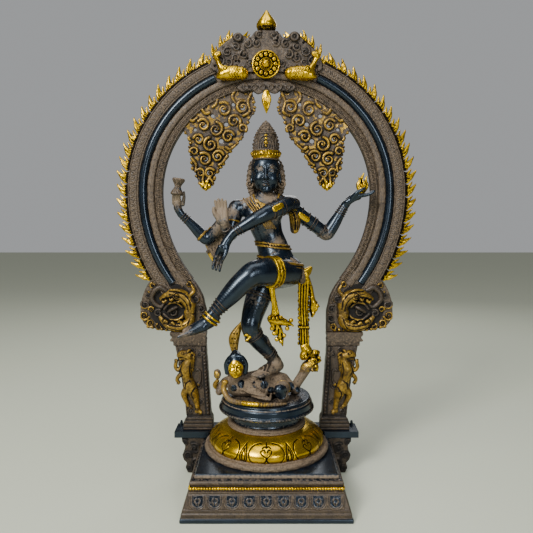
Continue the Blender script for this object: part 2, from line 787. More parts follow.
def build_plinth():
    foot = [(HALF - 30, 0), (HALF - 0.4, 0), (HALF - 0.2, 6), (HALF - 2.6, 8), (HALF - 2.2, 14),
            (HALF - 4.2, 16), (HALF - 4, 20.4), (HALF - 6, 21), (HALF - 12.6, 42),
            (HALF - 14, 43.5), (HALF - 13.6, 46.5), (HALF - 17, 47.5), (HALF - 17.4, 56),
            (HALF - 15.4, 57.6), (HALF - 14.4, 60.4), (HALF - 15.8, 63.4), (HALF - 20, 65),
            (HALF - 26, 65.4), (HALF - 26, 66), (HALF - 60, 66), (HALF - 60, 60),
            (HALF - 32, 58), (HALF - 30, 40)]
    skin = square_sweep(foot)
    z = skin.verts[:, 2]
    skin.dust = np.where(z < 20, 0.02, np.where(z < 44, 0.08, 0.25)) * (z > 7)
    centre = z[skin.quads].mean(axis=1)
    skin.metal = ((centre > 7.5) & (centre < 64.2)).astype(int)
    show("plinth_casting", skin, ["plinth"], PATINA, UMBER)
    slab = square_sweep([(SLAB_HALF - 40, 65.6), (SLAB_HALF - 0.2, 65.6), (SLAB_HALF, 67.6),
                         (SLAB_HALF - 0.6, 71), (SLAB_HALF - 2.4, SLAB_TOP - 0.1),
                         (30, SLAB_TOP), (30, 66.5)])
    reach = np.abs(slab.verts[:, :2]).max(axis=1)
    slab.dust = np.clip((reach - SLAB_HALF + 1.6) / 1.2, 0, 1) * 0.6 + 0.02
    show("slab_top", slab, ["top_slab"], PATINA)


def frieze_height(u, v, pitch):
    """Relief of the petal row: nested U outlines round a small motif."""
    w = np.abs((u / pitch + 0.5) % 1 - 0.5) * pitch
    half = pitch * 0.45
    drop = np.maximum(10.0 - v, 0) * 1.25
    edge = np.where(v < 10.0, np.sqrt(w ** 2 + drop ** 2), w)
    height = 1.3 * np.exp(-((edge - half) / 1.0) ** 2)
    height += 0.8 * np.exp(-((edge - half + 3.0) / 0.7) ** 2)
    heart = np.abs(np.sqrt(w ** 2 + ((v - 12.0) * 1.1) ** 2) - 4.2)
    height += 0.9 * np.exp(-(heart / 0.8) ** 2) * (w > 1.2)
    height += 0.8 * np.exp(-((w - 1.6) / 0.7) ** 2) * np.exp(-((v - 7.5) / 2.4) ** 2)
    return height, (edge < half - 0.8) & (height < 0.45)


def sheet_quads(rows, columns):
    """Quads of a thin closed sheet: its front grid, its back grid and the rim between them."""
    count = rows * columns
    face = grid_quads(rows, columns)
    rim = np.concatenate([np.arange(rows) * columns,
                          (rows - 1) * columns + np.arange(1, columns),
                          np.arange(rows - 2, -1, -1) * columns + columns - 1,
                          np.arange(columns - 2, 0, -1)])
    following = np.roll(rim, -1)
    wall = np.stack([following, rim, rim + count, following + count], 1)
    return np.concatenate([face, face[:, ::-1] + count, wall])


def build_frieze():
    low, high = 21.6, 41.6
    run = HALF - 12.6 - (HALF - 6)
    pitch = (2 * HALF - 30) / FRIEZE_PETALS
    span = pitch * FRIEZE_PETALS / 2
    u, v = np.meshgrid(np.arange(-span, span + 0.4, 0.8), np.linspace(0, 20, 30), indexing="ij")
    height, blue = frieze_height(u, v, pitch)
    t = v / 20
    z = low + (high - low) * t
    back = -HALF + 6 - run * t + 2.2
    front = -HALF + 5.5 - run * t - height * 0.9
    quads = sheet_quads(*u.shape)
    flat = np.concatenate([blue.ravel(), np.zeros(u.size, bool)])
    skins = []
    for side in range(4):
        turn = math.radians(90 * side)
        sheets = [np.stack([*about_z(u, y, turn), z], -1).reshape(-1, 3) for y in (front, back)]
        skin = Skin(np.concatenate(sheets), quads).with_cavity(3, 1.3)
        skin.metal = flat[quads].all(axis=1).astype(int)
        skin.dust = np.where(flat, 0.14, 0.3)
        skins.append(skin)
    show("petal_frieze_casting", joined(skins), ["petal_frieze"], UMBER, PATINA)


def build_rail():
    low, high = box_mm("bead_rail")
    reach, mid = high[0] - 2.6, (low[2] + high[2]) / 2
    bar = square_sweep([(reach - 4, mid - 2.2), (reach, mid - 2.2), (reach + 0.4, mid),
                        (reach, mid + 2.2), (reach - 4, mid + 2.2)])
    skins = [bar]
    count = 56
    for side in range(4):
        turn = math.radians(90 * side)
        for i in range(count):
            x = -reach + (i + 0.5) * 2 * reach / count
            size = 2.4 + 0.25 * math.sin(i * 2.1)
            skins.append(bead((*about_z(x, -reach, turn), mid), (2.6, 2.6, size + 0.2)))
    skin = joined(skins)
    skin.cavity = np.clip((reach + 1.4 - np.abs(skin.verts[:, :2]).max(axis=1)) * 0.35, 0.0, 1.0)
    show("bead_rail_casting", skin, ["bead_rail"], GILT)


def heart_paths(w, h):
    """Outline of a lotus petal with two lobes, and the scroll drawn inside it."""
    half = w / 2
    outline = smooth_path([(-half * 0.28, h), (-half * 0.62, h * 0.86), (-half * 0.86, h * 0.55),
                           (-half * 0.78, h * 0.26), (-half * 0.45, h * 0.13),
                           (-half * 0.12, h * 0.2), (0, h * 0.33)], 6)
    curl = smooth_path([(0, h * 0.36), (-half * 0.2, h * 0.5), (-half * 0.26, h * 0.62),
                        (-half * 0.1, h * 0.68), (-half * 0.06, h * 0.58)], 5)
    top = smooth_path([(-half * 0.2, h * 0.74), (-half * 0.1, h * 0.84), (0, h * 0.78)], 5)
    paths = [outline, curl, top]
    paths += [p * np.array([-1, 1]) for p in paths]
    return paths + [np.array([(0, h * 0.8), (0, h * 1.05)])]


def build_lotus():
    top, base = DOME_TOP, SLAB_TOP
    face = [(90, base), (95, base + 5), (96, base + 8.8), (101.6, base + 10.2),
            (104.6, base + 12.4), (105.6, base + 16), (104.8, base + 22), (100.4, base + 29),
            (93, base + 35.6), (82.8, base + 41.4), (74, top)]
    face = smooth_path(face, 4)
    length = np.concatenate([[0], np.cumsum(np.hypot(*np.diff(face, axis=0).T))]) - 12.6
    rise = face[:, 1]
    w = 2 * math.pi * 104 / LOTUS_PETALS
    height = 43.0
    paths = heart_paths(w * 0.88, height)
    edges = [smooth_path([(w * s, height * 1.05), (w * (s + 0.012), height * 0.8),
                          (w * s, height * 0.4), (w * (s + 0.04), height * 0.02)], 6)
             for s in (0.465, 0.425)]

    def surface(a, r, z):
        v = np.interp(z, rise, length)
        u = (a / (2 * math.pi) * LOTUS_PETALS + 0.5) % 1 - 0.5
        return u * w * np.clip(r / 104, 0.72, 1.05), v, (z > base + 9.4) & (r > 70)

    def engraving(u, v, wide):
        lines = sum(line_groove(u, v, path, wide, 1.0) for path in paths)
        return lines + sum(line_groove(np.abs(u), v, path, wide, 1.0) for path in edges)

    def relief(a, r, z):
        u, v, outside = surface(a, r, z)
        puff = np.cos(np.clip(np.abs(u) / (w * 0.44), 0, 1) * math.pi / 2) ** 0.6
        push = 2.2 * puff * np.exp(-((v - 14) / 17) ** 2) + 0.8 * engraving(u, v, 0.9)
        lip = 1.2 * np.cos(a * LOTUS_PETALS * 3) * np.exp(-((z - base - 7) / 3) ** 2)
        return np.where(outside, push, 0) + np.where((r > 88) & ~outside, lip, 0)

    def marks(a, r, z):
        u, v, outside = surface(a, r, z)
        return np.where(outside, np.clip(-1.1 * engraving(u, v, 1.15), 0, 0.95), 0)

    profile = [(60, base)] + [tuple(p) for p in face] + [(60, top)]
    skin = lathe(profile, 960, relief, step=0.8, rounds=3, gain=0.5, marks=marks)
    z = skin.verts[:, 2] - base
    r = np.hypot(skin.verts[:, 0], skin.verts[:, 1])
    skin.cavity = np.maximum(skin.cavity, np.clip((10.5 - z) / 3, 0, 1) * 0.7 * (r > 84))
    skin.dust = np.clip((9 - z) / 8, 0, 1) * 0.4
    show("lotus_casting", skin, ["lotus_dome"], GILT)


def build_turned():
    base = SLAB_TOP
    rim = [(RIM_R - 20, base), (RIM_R - 1.6, base), (RIM_R - 0.2, base + 3), (RIM_R, base + 5.4),
           (RIM_R - 1.4, base + 8.4), (RIM_R - 4.6, base + 10), (RIM_R - 7.6, base + 9.4),
           (RIM_R - 9, base + 8.4), (RIM_R - 10.6, base + 10.4), (RIM_R - 13, base + 10.8),
           (RIM_R - 15.6, base + 9.6), (RIM_R - 16.4, base + 6)]
    skin = lathe(rim, 420, lambda a, r, z: 0.35 * np.sin(a * 31) * np.sin(a * 7 + z), gain=1.1)
    skin.dust[:] = 0.75
    show("rim_ring_casting", skin, ["rim_ring"], UMBER)

    top = DOME_TOP
    neck = SEAT_LOW[2]
    collar = [(52, top), (71.4, top), (73.4, top + 1), (73.6, top + 3), (71.6, top + 4.2),
              (72.4, top + 5.4), (71.8, top + 7.6), (68, top + 8.6), (65.4, top + 10),
              (64.2, top + 13), (64, neck - 6), (66, neck - 2), (69, neck), (52, neck)]
    skin = lathe(collar, 300, gain=1.0)
    skin.dust[:] = np.where(skin.verts[:, 2] < top + 9, 0.75, 0.15)
    skin.metal = (skin.verts[skin.quads].mean(axis=1)[:, 2] > top + 9.4).astype(int)
    show("collar_casting", skin, ["collar"], UMBER, PATINA)

    r, low, high = SEAT_HIGH[0], SEAT_LOW[2], SEAT_HIGH[2]
    seat = [(30, low), (r - 7, low), (r - 2.5, low + 0.8), (r - 0.3, low + 2.6), (r, low + 4.6),
            (r - 1, low + 6.8), (r - 3, low + 7.8), (r - 3.4, low + 10), (r - 4.6, low + 17),
            (r - 6.2, low + 18), (r - 6, low + 19.2), (r - 7.4, low + 21), (r - 8, low + 24),
            (r - 10, high), (30, high)]
    skin = lathe(seat, 360, gain=0.9)
    z, reach = skin.verts[:, 2], np.hypot(skin.verts[:, 0], skin.verts[:, 1])
    skin.dust = 0.3 * np.exp(-((z - low - 4.5) / 2.2) ** 2)
    skin.dust += 0.35 * (z > high - 1) * np.clip((80 - reach) / 20, 0, 1)
    skin.dust += 0.6 * np.exp(-((z - low - 19.4) / 0.9) ** 2) * (reach > r - 9)
    show("seat_casting", skin, ["seat_disc"], PATINA)


# ---------- the dancing figure ----------

def shade(clay, amount=0.15):
    """Light dust all over, more on the upper faces."""
    skin = clay.skin()
    up = np.clip(skin.normals()[:, 2], 0, 1)
    skin.dust = np.maximum(skin.dust, amount * up)
    return skin


def torso_clay():
    c = Clay("torso", voxel=1.0, grow=5)
    flat = (0, 1, 0, 1.2)
    c.add(limb([(-3, -1, 534, 15), (-5, 0, 516, 30), (-3, 0, 494, 30), (4, 0, 470, 26),
                (9, 0, 456, 25)], flat), blend=4)
    c.add(limb([(-48, 1, 520, 13), (-26, 0, 525, 17), (0, 0, 528, 17), (20, 1, 529, 17),
                (38, 3, 527, 14)]), blend=12)
    c.add(limb([(-2, -3, 556, 12.4), (-3, -1, 540, 13), (-3, 0, 530, 16)]), blend=9)
    c.add(egg((-22, -13, 508), (17, 15, 15)), blend=10)
    c.add(egg((13, -14, 510), (17, 15, 15)), blend=10)
    c.add(limb([(9, 0, 456, 25), (14, -1, 440, 29), (20, 0, 418, 33), (24, 0, 404, 33)],
               (0, 1, 0, 1.12)), blend=9)
    c.add(egg((15, -13, 434), (19, 18, 17)), blend=9)
    c.add(egg((-4, 6, 404), (25, 25, 23)), egg((44, 4, 404), (24, 25, 22)), blend=12)
    c.add(egg((4, 18, 414), (20, 17, 21)), egg((36, 18, 414), (20, 17, 21)), blend=8)
    c.add(ball((-55, 1, 519), 15.5), ball((42, 2, 525), 16), blend=9)
    c.add(cone((-55, -2, 519), (-60, -6, 502), 13.6, 12.8), blend=6)
    c.add(cone((-56, 6, 518), (-72, 9, 502), 13, 12.4), blend=6)
    c.add(cone((44, 8, 522), (64, 12, 508), 13, 12.4), blend=6)
    c.add(cone((44, -4, 402), (20, -28, 405), 24, 24.6), blend=10)
    c.add(cone((-3, 2, 392), (-8, -2, 372), 23.6, 22.6), blend=10)
    c.carve(limb([(-5, -33, 516, 2.6), (-4, -31, 494, 1.6)]), blend=7)
    c.carve(limb([(-2, 26, 530, 3), (-1, 26, 490, 3), (8, 26, 452, 3)]), blend=8)
    c.carve(ball((13, -32.5, 438), 2.3), blend=1.5)
    for x, z in ((-24, 504), (14, 506)):
        c.add(ball((x, c.front(x, z) + 0.6, z), 2.0), blend=1.2)
    c.soften(1)
    c.dust((-34, -8, 536, 15, 0.9), (-20, -20, 520, 12, 0.5), (4, -14, 536, 17, 0.9),
           (22, -22, 458, 12, 0.7), (26, -24, 466, 9, 0.7), (40, -8, 412, 12, 0.5),
           (2, -28, 480, 13, 0.5), (14, -24, 500, 10, 0.5), (14, -30, 440, 10, 0.3),
           (-28, -8, 486, 10, 0.5), (0, 20, 520, 30, 0.4), (20, 26, 410, 24, 0.4))
    return c


def build_torso():
    torso = torso_clay()
    show("torso_casting", shade(torso), ["torso"], PATINA)

    cords = torso.twin()
    for i in range(5):
        path = [(-42 + i * 6.5, 538 - i), (-32 + i * 6, 524 - i), (-16 + i * 5, 504 - i),
                (0 + i * 4, 483)]
        cords.add(cords.drape(path, 1.9 - 0.1 * (i % 2), sink=-0.4, core=torso), blend=0)
    necklace = [(-24, 545), (-20, 534), (-8, 527), (0, 525), (10, 528), (20, 536), (23, 546)]
    cords.add(cords.drape(necklace, 2.1, sink=-0.3, core=torso), blend=0)
    second = [(-30, 540), (-22, 526), (-6, 517), (2, 515), (14, 519), (26, 530), (31, 541)]
    cords.add(cords.drape(second, 1.5, sink=-0.2, core=torso), blend=0)
    for t in np.linspace(0, 1, 15):
        k = t * (len(necklace) - 1)
        i = min(int(k), len(necklace) - 2)
        x = necklace[i][0] + (necklace[i + 1][0] - necklace[i][0]) * (k - i)
        z = necklace[i][1] + (necklace[i + 1][1] - necklace[i][1]) * (k - i) - 3.4
        cords.add(ball((x, torso.front(x, z) - 0.5, z), 1.9), blend=0.5)
    tail = [(44, 3, 522, 6), (49, 1, 512, 8.6), (52, 0, 500, 10), (53, 0, 489, 9.8),
            (52, 1, 481, 8)]
    cords.add(limb(tail), blend=1)
    for shift in (-5, 0, 5):
        cords.carve(limb([(p[0] + shift, p[1] - p[3] * 0.85 - 0.6, p[2], 1.2) for p in tail]),
                    blend=0.8)
    cords.paint(1, ball((60, 0, 512), 9), ball((46, 0, 480), 8))
    cords.dust((-40, -16, 534, 14, 0.7), (10, -30, 486, 14, 0.6))
    show("chest_cords_casting", cords.skin(), ["chest_cords"], OLD_GILT, UMBER)

    belt = torso.twin()
    for z, half, height in ((455, 1.5, 3.0), (449, 1.5, 2.8), (452, 3.2, 1.7)):
        belt.wrap(torso, disc((11, -1, z), (0.12, 0, 1), half, 60), height=height)
    for x in np.arange(-14, 37, 5.2):
        belt.add(ball((x, torso.front(x, 452) - 1.5, 452), 2.0), blend=0.5)
    belt.wrap(torso, disc((19, -1, 425), (0.2, 0, 1), 2.4, 60), height=2.4)
    belt.wrap(torso, disc((19, -1, 419.5), (0.2, 0, 1), 1.3, 60), height=1.6)
    belt.add(egg((20, torso.front(20, 425) - 1.5, 425), (6, 3, 5)), blend=1)
    show("waist_belt_casting", belt.skin(), ["waist_belt"], OLD_GILT)

    cloth = Clay("hip_cloth", voxel=1.0, grow=4)
    cloth.add(limb([(28, 22, 432, 9), (46, 16, 420, 12), (60, 10, 402, 12), (65, 8, 384, 8)]),
              limb([(32, -16, 430, 6), (48, -14, 418, 9), (62, -6, 400, 10), (66, -2, 388, 8)]),
              blend=6)
    cloth.add(limb([(8, -26, 424, 3.5), (30, -27, 424, 6), (50, -18, 412, 8)], (0, 1, 0, 1.6)),
              blend=5)
    for i in range(7):
        z = 434 - i * 6.5
        path = [(22 + i * 5.6, z), (38 + i * 4.6, z - 8), (52 + i * 2.4, z - 20)]
        cloth.emboss(cloth.drape(path, 1.5, core=cloth), height=1.2, soft=1.0)
    cloth.dust((45, -10, 412, 40, 1.0))
    show("hip_cloth_casting", shade(cloth, 0.5), ["hip_cloth"], UMBER)


def build_head():
    x0, y0, z0 = -1.0, -4.0, 582.0
    c = Clay("head", voxel=0.55, grow=4)
    c.add(egg((x0, y0 + 3, z0 + 12), (26.4, 27, 27)), blend=0)
    c.add(egg((x0, y0 - 5, z0 - 13), (22.4, 20, 22.5)), blend=12)
    c.add(egg((x0, y0 - 17, z0 - 30.5), (8, 6.5, 5.6)), blend=7)
    for s in (-1, 1):
        c.add(egg((x0 + s * 12, y0 - 16, z0 - 11), (8.4, 8, 9.5)), blend=7)
        c.carve(egg((x0 + s * 10.4, y0 - 31, z0 + 3), (7.6, 6.6, 4.6)), blend=4)
    c.add(limb([(x0, y0 - 23, z0 + 9, 2.6), (x0, y0 - 27, z0 - 1, 2.9),
                (x0, y0 - 30, z0 - 9.4, 3.5)]), blend=2.6)
    c.add(ball((x0 - 3.5, y0 - 26.4, z0 - 10.4), 2.5), ball((x0 + 3.5, y0 - 26.4, z0 - 10.4), 2.5),
          blend=1.4)
    for s in (-1, 1):
        lens = (x0 + s * 10.2, c.front(x0 + s * 10.2, z0 + 2.6) + 2.4, z0 + 2.6)
        c.add(egg(lens, (5.6, 4.2, 3.6)), blend=0.8)
        for lift, thick in ((1.0, 0.95), (-1.0, 0.7)):
            path = [(x0 + s * 4.2, z0 + 2.2), (x0 + s * 7.2, z0 + 2.6 + lift * 2.6),
                    (x0 + s * 10.6, z0 + 2.8 + lift * 3.3), (x0 + s * 14, z0 + 3.0 + lift * 2.0),
                    (x0 + s * 17, z0 + 3.2)]
            c.add(c.drape(path, thick, sink=-0.25), blend=0.7)
        brow = [(x0 + s * 3.6, z0 + 9.4), (x0 + s * 9.5, z0 + 12.4), (x0 + s * 15.5, z0 + 11.4),
                (x0 + s * 20, z0 + 7.6)]
        c.add(c.drape(brow, 1.15, sink=-0.1), blend=1.4)
        c.add(egg((x0 + s * 25.4, y0 + 2, z0 - 1), (3, 6, 9)), blend=1.5)
        c.carve(egg((x0 + s * 28.6, y0 + 0.5, z0), (2, 3.4, 5.4)), blend=1.0)
        c.add(egg((x0 + s * 26.2, y0 + 1, z0 - 12), (3.4, 3.6, 5.6)), blend=1.2)
        c.carve(ball((x0 + s * 2.1, y0 - 30.6, z0 - 12.6), 0.9), blend=0.8)
    lip = c.front(x0, z0 - 20)
    c.add(limb([(x0 - 7.6, lip + 2.2, z0 - 18.6, 0.9), (x0 - 3.2, lip - 0.6, z0 - 17.3, 1.8),
                (x0, lip - 0.8, z0 - 17.9, 1.7), (x0 + 3.2, lip - 0.6, z0 - 17.3, 1.8),
                (x0 + 7.6, lip + 2.2, z0 - 18.6, 0.9)]), blend=1.0)
    c.add(limb([(x0 - 6.2, lip + 1.6, z0 - 20.6, 1.2), (x0, lip - 0.9, z0 - 22.2, 2.2),
                (x0 + 6.2, lip + 1.6, z0 - 20.6, 1.2)]), blend=1.0)
    c.carve(limb([(x0 - 7, lip - 0.4, z0 - 19.3, 0.5), (x0, lip - 3.0, z0 - 19.9, 0.7),
                  (x0 + 7, lip - 0.4, z0 - 19.3, 0.5)]), blend=0.6)
    c.add(limb([(x0, y0 + 2, z0 - 24, 12.6), (x0 - 1, y0 + 2.5, z0 - 36, 12.8)]), blend=5)
    c.dust((x0, y0 + 26, z0 + 10, 24, 0.8), (x0, y0 - 6, z0 - 38, 12, 0.7),
           (x0, y0 - 27, z0 - 6, 4, 0.5), (x0, y0 - 22, z0 - 20, 7, 0.4),
           (x0 - 11, y0 - 21, z0 + 8, 7, 0.45), (x0 + 11, y0 - 21, z0 + 8, 7, 0.45))
    show("head_casting", c.skin(), ["head"], PATINA)


def build_crown():
    c = Clay("crown", voxel=0.6, grow=3)
    x0, y0, z0 = -1.0, -2.0, 606.0
    heights = np.array([0, 8, 17, 22, 34, 44, 50, 56, 62, 68, 71.6])
    widths = np.array([23.4, 24.4, 23.6, 21.8, 20.6, 19.6, 17.6, 14.0, 9.6, 5.4, 2.4])

    def on_crown(turn, h, lift=0.0):
        r = np.interp(h, heights, widths) + lift
        return x0 + r * math.sin(turn), y0 - r * math.cos(turn), z0 + h

    for h, r, rise, growth in zip(heights, widths, np.diff(heights), np.diff(widths)):
        steps = max(int(rise / 1.6), 2)
        for t in np.linspace(0, 1, steps, endpoint=False):
            c.add(disc((x0, y0, z0 + h + rise * t), (0, 0, 1), 0.9, r + growth * t), blend=0.8)
    c.soften(2)
    for h, r, thick in ((1.5, 23.8, 1.8), (17.5, 23.4, 1.7), (47, 18.8, 1.4), (55, 14.8, 1.4),
                        (62.5, 9.4, 1.3), (68, 5.4, 1.2)):
        c.add(hoop((x0, y0, z0 + h), (0, 0, 1), r, thick), blend=0.8)
    for i in range(26):
        turn = 2 * math.pi * i / 26
        c.add(ball(on_crown(turn, 9.5, 0.6), 2.3), blend=0.4)
        for h, every in ((51, 2), (59.4, 2), (66, 3)):
            if i % every == 0:
                c.add(ball(on_crown(turn, h, 0.2), 1.5), blend=0.4)
    for quarter in range(4):
        face = quarter * math.pi / 2
        for width, tall in ((5.4, 7.0), (9.8, 13.5), (14.4, 20.5)):
            arch = []
            for a in np.linspace(-0.12, 1.12, 14) * math.pi:
                h = 22.5 + tall * max(math.sin(a), -0.3)
                r = np.interp(h, heights, widths)
                arch.append((*on_crown(face + math.cos(a) * width / r, h, 0.5), 1.35))
            c.add(limb(arch, steps=2), blend=0.5)
        for h, size in ((13.5, 3.8), (24, 2.6), (30, 3.4), (37, 2.6), (43, 2.0)):
            c.add(ball(on_crown(face, h, 0.8), size), blend=0.4)
        c.add(hoop(on_crown(face, 13.5, 0.6), (math.sin(face), -math.cos(face), 0), 5.0, 1.1),
              blend=0.4)
    c.add(egg((x0, y0, z0 + 71), (2.6, 2.6, 2.4)), blend=0.6)
    c.paint(1, disc((x0, y0, z0 + 9.6), (0, 0, 1), 7.0, 60))
    for h, size in ((24, 3.0), (30, 3.9), (37, 3.0), (43, 2.4)):
        c.paint(1, ball(on_crown(0, h, 1.2), size))
    c.dust((x0, y0, z0 + 60, 30, 0.6), (x0, y0, z0 + 30, 34, 0.5))
    show("crown_casting", c.skin(), ["crown"], UMBER, GILT)

    locks = Clay("side_locks", voxel=0.8, grow=4)
    for s in (-1, 1):
        x = s * 27.4 - 1
        locks.add(limb([(x - s * 2, 5, 603, 4.6), (x + s * 0.6, 4, 590, 5.4),
                        (x + s * 2, 4, 572, 6.2), (x + s * 0.4, 5, 556, 5.8),
                        (x - s * 2, 6, 544, 4.6)]), blend=2)
        for k in range(7):
            z = 600 - k * 8
            locks.emboss(disc((x, 5, z), (s * 0.5, 0.2, 1), 1.2, 18), height=1.2, soft=1.0)
        locks.add(hoop((x + s * 2, -4, 564), (0.2 * s, 1, 0), 5.6, 1.9), blend=0.8)
        locks.add(ball((x + s * 2, -4, 564), 2.6), blend=0.6)
        locks.add(ball((x + s, -3, 584), 5.0), hoop((x + s, -6, 584), (0, 1, 0), 3.6, 1.3),
                  blend=0.8)
        locks.add(limb([(x - s * 4, 10, 598, 6), (x - s * 2, 14, 575, 8), (x - s * 6, 14, 552, 7)]),
                  blend=4)
    locks.dust((-36, 0, 560, 40, 0.8), (36, 0, 560, 40, 0.8))
    show("side_locks_casting", shade(locks, 0.5), ["side_locks"], UMBER)


def turned(points, origin, angles):
    """Stations [x, y, z, r] turned by degrees about X, Y and Z, then moved to the origin."""
    ax, ay, az = np.radians(angles)
    rx = np.array([[1, 0, 0], [0, math.cos(ax), -math.sin(ax)], [0, math.sin(ax), math.cos(ax)]])
    ry = np.array([[math.cos(ay), 0, math.sin(ay)], [0, 1, 0], [-math.sin(ay), 0, math.cos(ay)]])
    rz = np.array([[math.cos(az), -math.sin(az), 0], [math.sin(az), math.cos(az), 0], [0, 0, 1]])
    p = np.asarray(points, float)
    out = p[:, :3] @ (rz @ ry @ rx).T + np.asarray(origin)
    return [(*q, s[3]) for q, s in zip(out, p)]


def fingers(clay, origin, angles, curl=0.0, spread=4.0, reach=21.0, side=1):
    """Open hand along +Z with its palm towards -Y, the thumb on the side given."""
    def place(points):
        return turned([(side * p[0], p[1], p[2], p[3]) for p in points], origin, angles)
    clay.add(limb(place([(-5, 0, 0, 6.4), (-6, 0.6, 16, 5.4)])),
             limb(place([(0, 0.6, 0, 6.4), (0, 1.2, 18, 5.6)])),
             limb(place([(5, 0, 0, 6.4), (6, 0.6, 16, 5.2)])), blend=3)
    clay.add(limb(place([(-7, -2.4, 5, 4.6), (-11.6, -5, 12, 3.9), (-13, -7, 19, 3.2),
                         (-12.4, -8, 23, 2.5)])), blend=2.5)
    for i in range(4):
        x = -7.4 + i * 4.9
        lean = (i - 1.5) * math.radians(spread)
        long = reach * (0.9, 1.0, 0.96, 0.8)[i]
        stations = [(x, 0.4, 15, 3.1)]
        bent = 0.0
        y, z = 0.4, 17.0
        for part, size in ((0.42, 2.9), (0.32, 2.8), (0.26, 2.35)):
            bent += math.radians(curl)
            z += long * part * math.cos(bent)
            y -= long * part * math.sin(bent)
            x += long * part * math.sin(lean)
            stations.append((x, y, z, size))
        clay.add(limb(place(stations), steps=3), blend=1.2)
    return clay


def arm_front_right():
    c = Clay("arm_front_right", voxel=0.8, grow=4)
    c.add(limb([(-55, -1, 520, 15.4), (-59, -5, 506, 14.4), (-63, -9, 492, 13.2),
                (-64, -12, 478, 12), (-65, -17, 472, 11.8), (-68, -28, 477, 11),
                (-72, -38, 483, 9.2), (-75, -45, 491, 7.6)]), blend=0)
    fingers(c, (-77, -48, 496), (-4, -6, 0), curl=7, spread=3)
    c.dust((-77, -56, 520, 24, 1.3), (-62, -16, 512, 13, 0.7), (-72, -46, 492, 11, 0.9))
    return c, [((-63, -8, 494), (0.1, 0.3, 1), 1.6, 1.8),
               ((-71, -36, 482), (-0.3, -0.9, 0.5), 1.2, 1.5),
               ((-73, -40, 485), (-0.3, -0.9, 0.55), 1.2, 1.5)]


def arm_front_left():
    c = Clay("arm_front_left", voxel=0.8, grow=4)
    c.add(limb([(46, -4, 527, 16.2), (34, -22, 525, 16), (18, -38, 517, 15), (2, -48, 510, 13.6),
                (-8, -52, 504, 13), (-20, -54.5, 498, 12.4), (-38, -55.5, 487, 10.6),
                (-56, -57, 476, 8.6), (-64, -58, 467, 8), (-70, -59, 458, 8.4),
                (-76, -61, 447, 8)]), blend=0)
    for shift, r in (((0, 0, 0), 4.2), ((6, 2.4, -2.4), 4.0), ((-5, -5, 2), 4.0)):
        sx, sy, sz = shift
        c.add(limb([(-76 + sx * 0.7, -60 + sy, 448 + sz, 5.4), (-80 + sx, -59 + sy, 438 + sz, r),
                    (-84.5 + sx, -60 + sy, 427 + sz, r - 0.8),
                    (-87 + sx, -61.4 + sy, 417 + sz, r - 1.3),
                    (-87.6 + sx, -63 + sy, 411 + sz, r - 1.9)]), blend=1.5)
    c.add(limb([(-69, -62, 451, 5), (-70, -66, 442, 3.9), (-73, -68.4, 434, 3.2),
                (-75, -69.5, 429, 2.4)]), blend=2)
    c.dust((-84, -62, 425, 14, 0.4), (46, -2, 540, 16, 0.5))
    axis = (-0.72, -0.1, -0.6)
    rings = [((-46 - 3.6 * i, -56, 482 - 2.8 * i), axis, 0.9, 1.5) for i in range(3)]
    upper = (-0.66, -0.55, -0.3)
    rings += [((26, -32, 521), upper, 0.9, 1.4), ((18, -38, 517.4), upper, 0.9, 1.4),
              ((9.5, -44, 513), upper, 0.9, 1.5), ((5.4, -46.5, 511.2), upper, 0.9, 1.5)]
    return c, rings, [cone((25, -46, 522), (14, -54, 516), 6, 6)]


def arm_rear_right():
    c = Clay("arm_rear_right", voxel=0.8, grow=4)
    c.add(limb([(-54, 5, 520, 14.6), (-70, 9, 504, 13.4), (-86, 12, 489, 12.2),
                (-102, 16, 471, 11.6), (-111, 17, 463.5, 11.8), (-120, 17, 469, 11.6),
                (-136, 17, 486, 9.8), (-150, 16, 500, 7.8), (-160, 16, 510, 7.2)]), blend=0)
    c.add(limb([(-160, 16, 510, 7), (-166, 15, 521, 7.6), (-167, 13, 531, 6.4)]), blend=2)
    for i in range(3):
        x = -173 + i * 5.2
        c.add(limb([(x, 14, 530, 3.6), (x + 0.4, 7, 541, 3), (x + 2, 1.5, 548, 2.6),
                    (x + 3.4, -1, 556, 2.2)]), blend=1.2)
    c.add(limb([(-157, 16, 528, 3.8), (-154, 12, 540, 3), (-154, 10, 550, 2.4)]), blend=1.2)
    c.add(limb([(-170, 20, 530, 3.6), (-171, 19, 543, 3), (-169, 15, 552, 2.3)]), blend=1.2)
    c.dust((-166, 10, 540, 18, 0.9), (-84, 4, 480, 18, 0.8), (-60, 4, 512, 16, 0.9))
    axis = (-0.72, -0.05, 0.68)
    return c, [((-74, 10, 500), (-0.75, 0.15, -0.66), 2.2, 2.2),
               ((-121, 17, 470), axis, 2.2, 1.7), ((-149, 16, 499.4), axis, 0.9, 1.5),
               ((-152.5, 16, 502.8), axis, 0.9, 1.5), ((-156, 16, 506.2), axis, 0.9, 1.5)]


